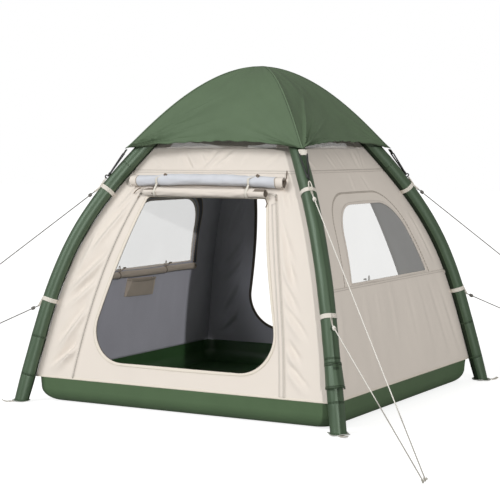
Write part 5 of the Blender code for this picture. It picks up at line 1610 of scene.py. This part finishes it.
foot = {"halfWidth": 0.056, "halfDepth": 0.052, "thickness": 0.0026, "tabLength": 0.062, "tabWidth": 0.034,
        "tabThickness": 0.0022, "overlap": 0.010, "curl": 0.012, "hole": 0.006, "holeShare": 0.28,
        "eyelet": 0.0078, "eyeletWire": 0.0015, "welt": 0.0445, "weltStation": 0.012, "weltHeight": 0.0075,
        "weltWire": 0.0028}


def makeFoot(corner, tag):
    reach, turn = beam["footReach"], cornerTurn(corner)
    edge = reach + foot["halfDepth"]
    start, length = edge - foot["overlap"], foot["tabLength"] + foot["overlap"]
    hole = edge + foot["tabLength"] * foot["holeShare"]
    legEnd = beamFrame(stationAt(foot["weltStation"]))

    def padSpot(u, v):
        # a rounded square whose rim curls up a little
        angle = 2 * pi * u
        share = v / (cos(angle) ** 4 + sin(angle) ** 4) ** 0.25
        lift = 0.0016 + 0.0050 * max(0.0, v - 0.62) ** 2 * (1 + 0.8 * sin(3 * angle + tag)) / 0.144
        return Vector((reach + foot["halfDepth"] * cos(angle) * share, foot["halfWidth"] * sin(angle) * share,
                       lift))

    def tabSpot(u, v):
        # u runs round the eyelet, v from the hole to the tab's edge
        dx, dy = cos(2 * pi * u), sin(2 * pi * u)
        ahead = (start + length - hole) / max(1e-6, dx) if dx > 0 else (hole - start) / max(1e-6, -dx)
        far = mixed(foot["hole"], min(ahead, foot["tabWidth"] / 2 / max(1e-6, abs(dy))), v)
        share = (hole + dx * far - start) / length
        rise = foot["curl"] * (max(0.0, share - 0.5) / 0.5) ** 2
        return Vector((hole + dx * far, dy * far, 0.0030 + rise))

    def weltSpot(share):
        # the leg is closed by a welt where it meets its pad
        angle = 2 * pi * share
        spot = legEnd @ Vector((foot["welt"] * cos(angle), foot["welt"] * sin(angle), 0))
        return Vector((spot.x, spot.y, foot["weltHeight"]))
    pad = gridPatch(72, 14, padSpot, close=True)
    tab = gridPatch(96, 12, tabSpot, (0.1, 0.03), close=True)
    faceAway(pad, (0, 0, 1))
    faceAway(tab, (0, 0, 1))
    ring = spotsOf(40, lambda share: Vector((hole + foot["eyelet"] * cos(2 * pi * share),
                                             foot["eyelet"] * sin(2 * pi * share), 0.0036)), True)
    finishPiece("footPad_" + corner, pad, footRubber, stands="foot_patch_" + corner, slotName="foot_rubber",
                turn=turn, thick=foot["thickness"], offset=0.6)
    finishPiece("pegTab_" + corner, tab, creamWebbing, slotName="webbing", turn=turn,
                thick=foot["tabThickness"])
    finishPiece("eyelet_" + corner, sweptTube(ring, foot["eyeletWire"], 10, closed=True), eyeMetal, turn=turn)
    finishPiece("footWelt_" + corner,
                sweptTube(spotsOf(64, weltSpot, True), foot["weltWire"], 10, closed=True),
                sleeveCloth, slotName="beam_sleeve", turn=turn)


makeTub()
for cornerNumber, cornerName in enumerate(corners):
    makeFoot(cornerName, cornerNumber)
print("tub and feet set down")


# Valve, its cap and the flap over them

valve = {"height": 0.285, "radius": 0.017, "stand": 0.0045, "capRadius": 0.014, "capThick": 0.0045,
         "ribs": 24, "ribDepth": 0.018, "gripWidth": 0.0036, "gripLength": 0.0215, "gripHeight": 0.0032,
         "gripEdge": 0.0009}
flap = {"top": 0.366, "bottom": 0.228, "flare": 0.024, "wrap": radians(92), "stand": 0.0014,
        "thickness": 0.0014, "tapes": {"Top": (0.005, 0.135), "Hem": (0.885, 0.995)}, "cut": (0.22, 0.145)}
beamFlat = beam["radius"] * cos(pi / 10)


def lathe(profile, segments=48):
    bm = bmesh.new()
    spots = [bm.verts.new((r, 0.0, z)) for r, z in profile]
    for a, b in zip(spots, spots[1:]):
        bm.edges.new((a, b))
    bmesh.ops.spin(bm, geom=bm.verts[:] + bm.edges[:], cent=(0, 0, 0), axis=(0, 0, 1), angle=2 * pi,
                   steps=segments, use_merge=True)
    bmesh.ops.remove_doubles(bm, verts=bm.verts, dist=1e-6)
    bmesh.ops.recalc_face_normals(bm, faces=bm.faces)
    return bm


def makeValve():
    turn = cornerTurn("front_right") @ beamFrame(stationAt(valve["height"])) @ Matrix.Rotation(pi / 2, 4, "Y")
    face, low = beamFlat + valve["stand"], beam["radius"] - 0.0006
    rim, cap = valve["radius"], valve["capRadius"]
    base = lathe([(0.0, face - 0.0012), (0.0085, face - 0.0012), (0.0090, face), (cap - 0.001, face),
                  (cap, face - 0.0008), (cap + 0.0006, low + 0.0012), (rim - 0.0006, low + 0.0010),
                  (rim, low), (rim, low - 0.004), (0.0, low - 0.004)])
    finishPiece("valveBody", base, valvePlastic, stands="valve_body", slotName="hard_plastic", turn=turn,
                sharp=35)
    bottom = face + 0.0004
    top = bottom + valve["capThick"]
    lid = lathe([(0.0, bottom), (cap - 0.0006, bottom), (cap, bottom + 0.0006), (cap, top - 0.0014),
                 (cap - 0.0014, top), (0.0095, top), (0.0088, top - 0.0008), (0.0, top - 0.0008)], 72)
    for vert in lid.verts:
        if hypot(vert.co.x, vert.co.y) > cap - 0.0002:
            dent = 1 - valve["ribDepth"] * (0.5 + 0.5 * cos(valve["ribs"] * atan2(vert.co.y, vert.co.x)))
            vert.co = Vector((vert.co.x * dent, vert.co.y * dent, vert.co.z))

    def gripShape(co):
        return Vector((co.x * valve["gripWidth"], co.y * valve["gripLength"],
                       top - 0.0012 + (co.z + 0.5) * valve["gripHeight"]))
    joined(lid, softBlock(gripShape, valve["gripEdge"]))
    finishPiece("valveCap", lid, valvePlastic, body="cap", stands="valve_cap", slotName="hard_plastic",
                turn=turn, sharp=35)


def flapSpot(across, down, lift=0.0):
    # wrapped round the beam at its sewn top edge and flaring away below it
    place = beamFrame(stationAt(mixed(flap["top"], flap["bottom"], down)))
    angle = mixed(-flap["wrap"], flap["wrap"], across)
    wave = 0.0018 * down * sin(5 * angle + 0.6) + 0.0008 * down * sin(11 * angle)
    spread = beam["radius"] + flap["stand"] + flap["flare"] * down ** 0.8 * 0.25 + lift + wave
    push = flap["flare"] * down ** 0.6 * 0.75 * max(0.0, cos(angle))
    return place @ Vector((push + spread * cos(angle), spread * sin(angle), 0.0015 * down * sin(4 * angle)))


def makeFlapTrim(name, columns, rows, place, length, thick):
    bm = gridPatch(columns, rows, place, (length, 1.0))
    faceAway(bm)
    return finishPiece(name, bm, sleeveTape, body="flap", slotName="beam_sleeve",
                       turn=cornerTurn("front_right"), thick=thick)


def makeFlap():
    bm = gridPatch(90, 40, flapSpot, (0.17, 0.14))
    area = faceAway(bm, (1, 0, 0))
    cloth = finishPiece("flapCloth", bm, sleeveCloth, body="flap", stands="valve_flap",
                        slotName="beam_sleeve", turn=cornerTurn("front_right"), thick=flap["thickness"])
    for label, (low, high) in flap["tapes"].items():
        def tapeSpot(u, v):
            return flapSpot(mixed(0.004, 0.996, u), mixed(low, high, v), 0.0013 - 0.0009 * (2 * v - 1) ** 4)
        makeFlapTrim("flap" + label, 90, 6, tapeSpot, 0.17, 0.0007)

    def tuckSpot(u, v):
        return flapSpot(mixed(0.40, 0.60, u), mixed(0.02, 0.30, v), 0.0024 - 0.0012 * (2 * u - 1) ** 6)
    makeFlapTrim("flapTuck", 16, 12, tuckSpot, 0.03, 0.0008)


makeValve()
makeFlap()
print("valve covered")


# Pocket on the inside of the left wall

pocket = {"bottom": 0.556, "top": 0.664, "half": 0.140, "shift": 0.050, "flare": 0.045,
          "slants": (0.012, 0.009),
          "depth": 0.034, "footDepth": 0.010, "stand": 0.006, "seam": 0.10, "sag": 0.008, "thickness": 0.0016,
          "hem": (0.86, 1.0), "cut": (0.38, 0.24)}


def pocketFace(z):
    return wallHalf(z) - pocket["stand"]


def pocketHeight(u, v):
    # the lower edge slants down and the mouth slants up
    low, high = pocket["slants"]
    return mixed(pocket["bottom"] - low * (1 - u), pocket["top"] + high * u, v)


def pocketSpot(u, v):
    half, z = pocket["half"], pocketHeight(u, v)
    depth = mixed(pocket["footDepth"], pocket["depth"], v ** 0.8)
    edge = min(u, 1 - u) / pocket["seam"]
    if edge < 1:
        x = half * (1 - 0.03 * edge) * (1 if u > 0.5 else -1)
        y = pocketFace(z) - depth * smoothStep(edge, 0.0, 1.0)
    else:
        x = mixed(-half * 0.97, half * 0.97, (u - pocket["seam"]) / (1 - 2 * pocket["seam"]))
        y = pocketFace(z) - depth * (1 - 0.28 * (x / half) ** 4)
        y -= 0.002 * noise.noise(Vector((x * 14, z * 14, 0)))
    sag = pocket["sag"] * (1 - (x / half) ** 2) * v * v
    return Vector((x + pocket["shift"] - pocket["flare"] * (1 - u) * (1 - v), -y, z - sag))


def makePocket():
    low, high = pocket["bottom"], pocket["top"]

    def bottomSpot(u, v):
        edge = pocketSpot(u, 0.0)
        return Vector((edge.x, mixed(edge.y, -pocketFace(low), v), edge.z))

    def backSpot(u, v):
        x = mixed(-pocket["half"], pocket["half"], u) + pocket["shift"] - pocket["flare"] * (1 - u) * (1 - v)
        return Vector((x, cabin["gap"] - pocketFace(mixed(low, high, v)), pocketHeight(u, v)))
    bag = gridPatch(80, 24, pocketSpot, (0.36, 0.11))
    joined(bag, gridPatch(80, 4, bottomSpot, (0.36, 0.01)))
    joined(bag, gridPatch(40, 16, backSpot, (0.31, 0.11)))
    bmesh.ops.remove_doubles(bag, verts=bag.verts, dist=2e-5)
    area = faceAway(bag)
    piece = finishPiece("pocketCloth", bag, taupeCloth, stands="storage_pocket", slotName="blind_cloth",
                        turn=sideTurn("left"), thick=pocket["thickness"], offset=0.0)
    hem = gridPatch(80, 4, lambda u, v: pocketSpot(u, mixed(*pocket["hem"], v)) + Vector((0, 0.0018, 0)),
                    (0.36, 1.0))
    faceAway(hem)
    trim = finishPiece("pocketHem", hem, taupeTape, slotName="blind_cloth", turn=sideTurn("left"),
                       thick=0.0009)


makePocket()
print("pocket sewn in")
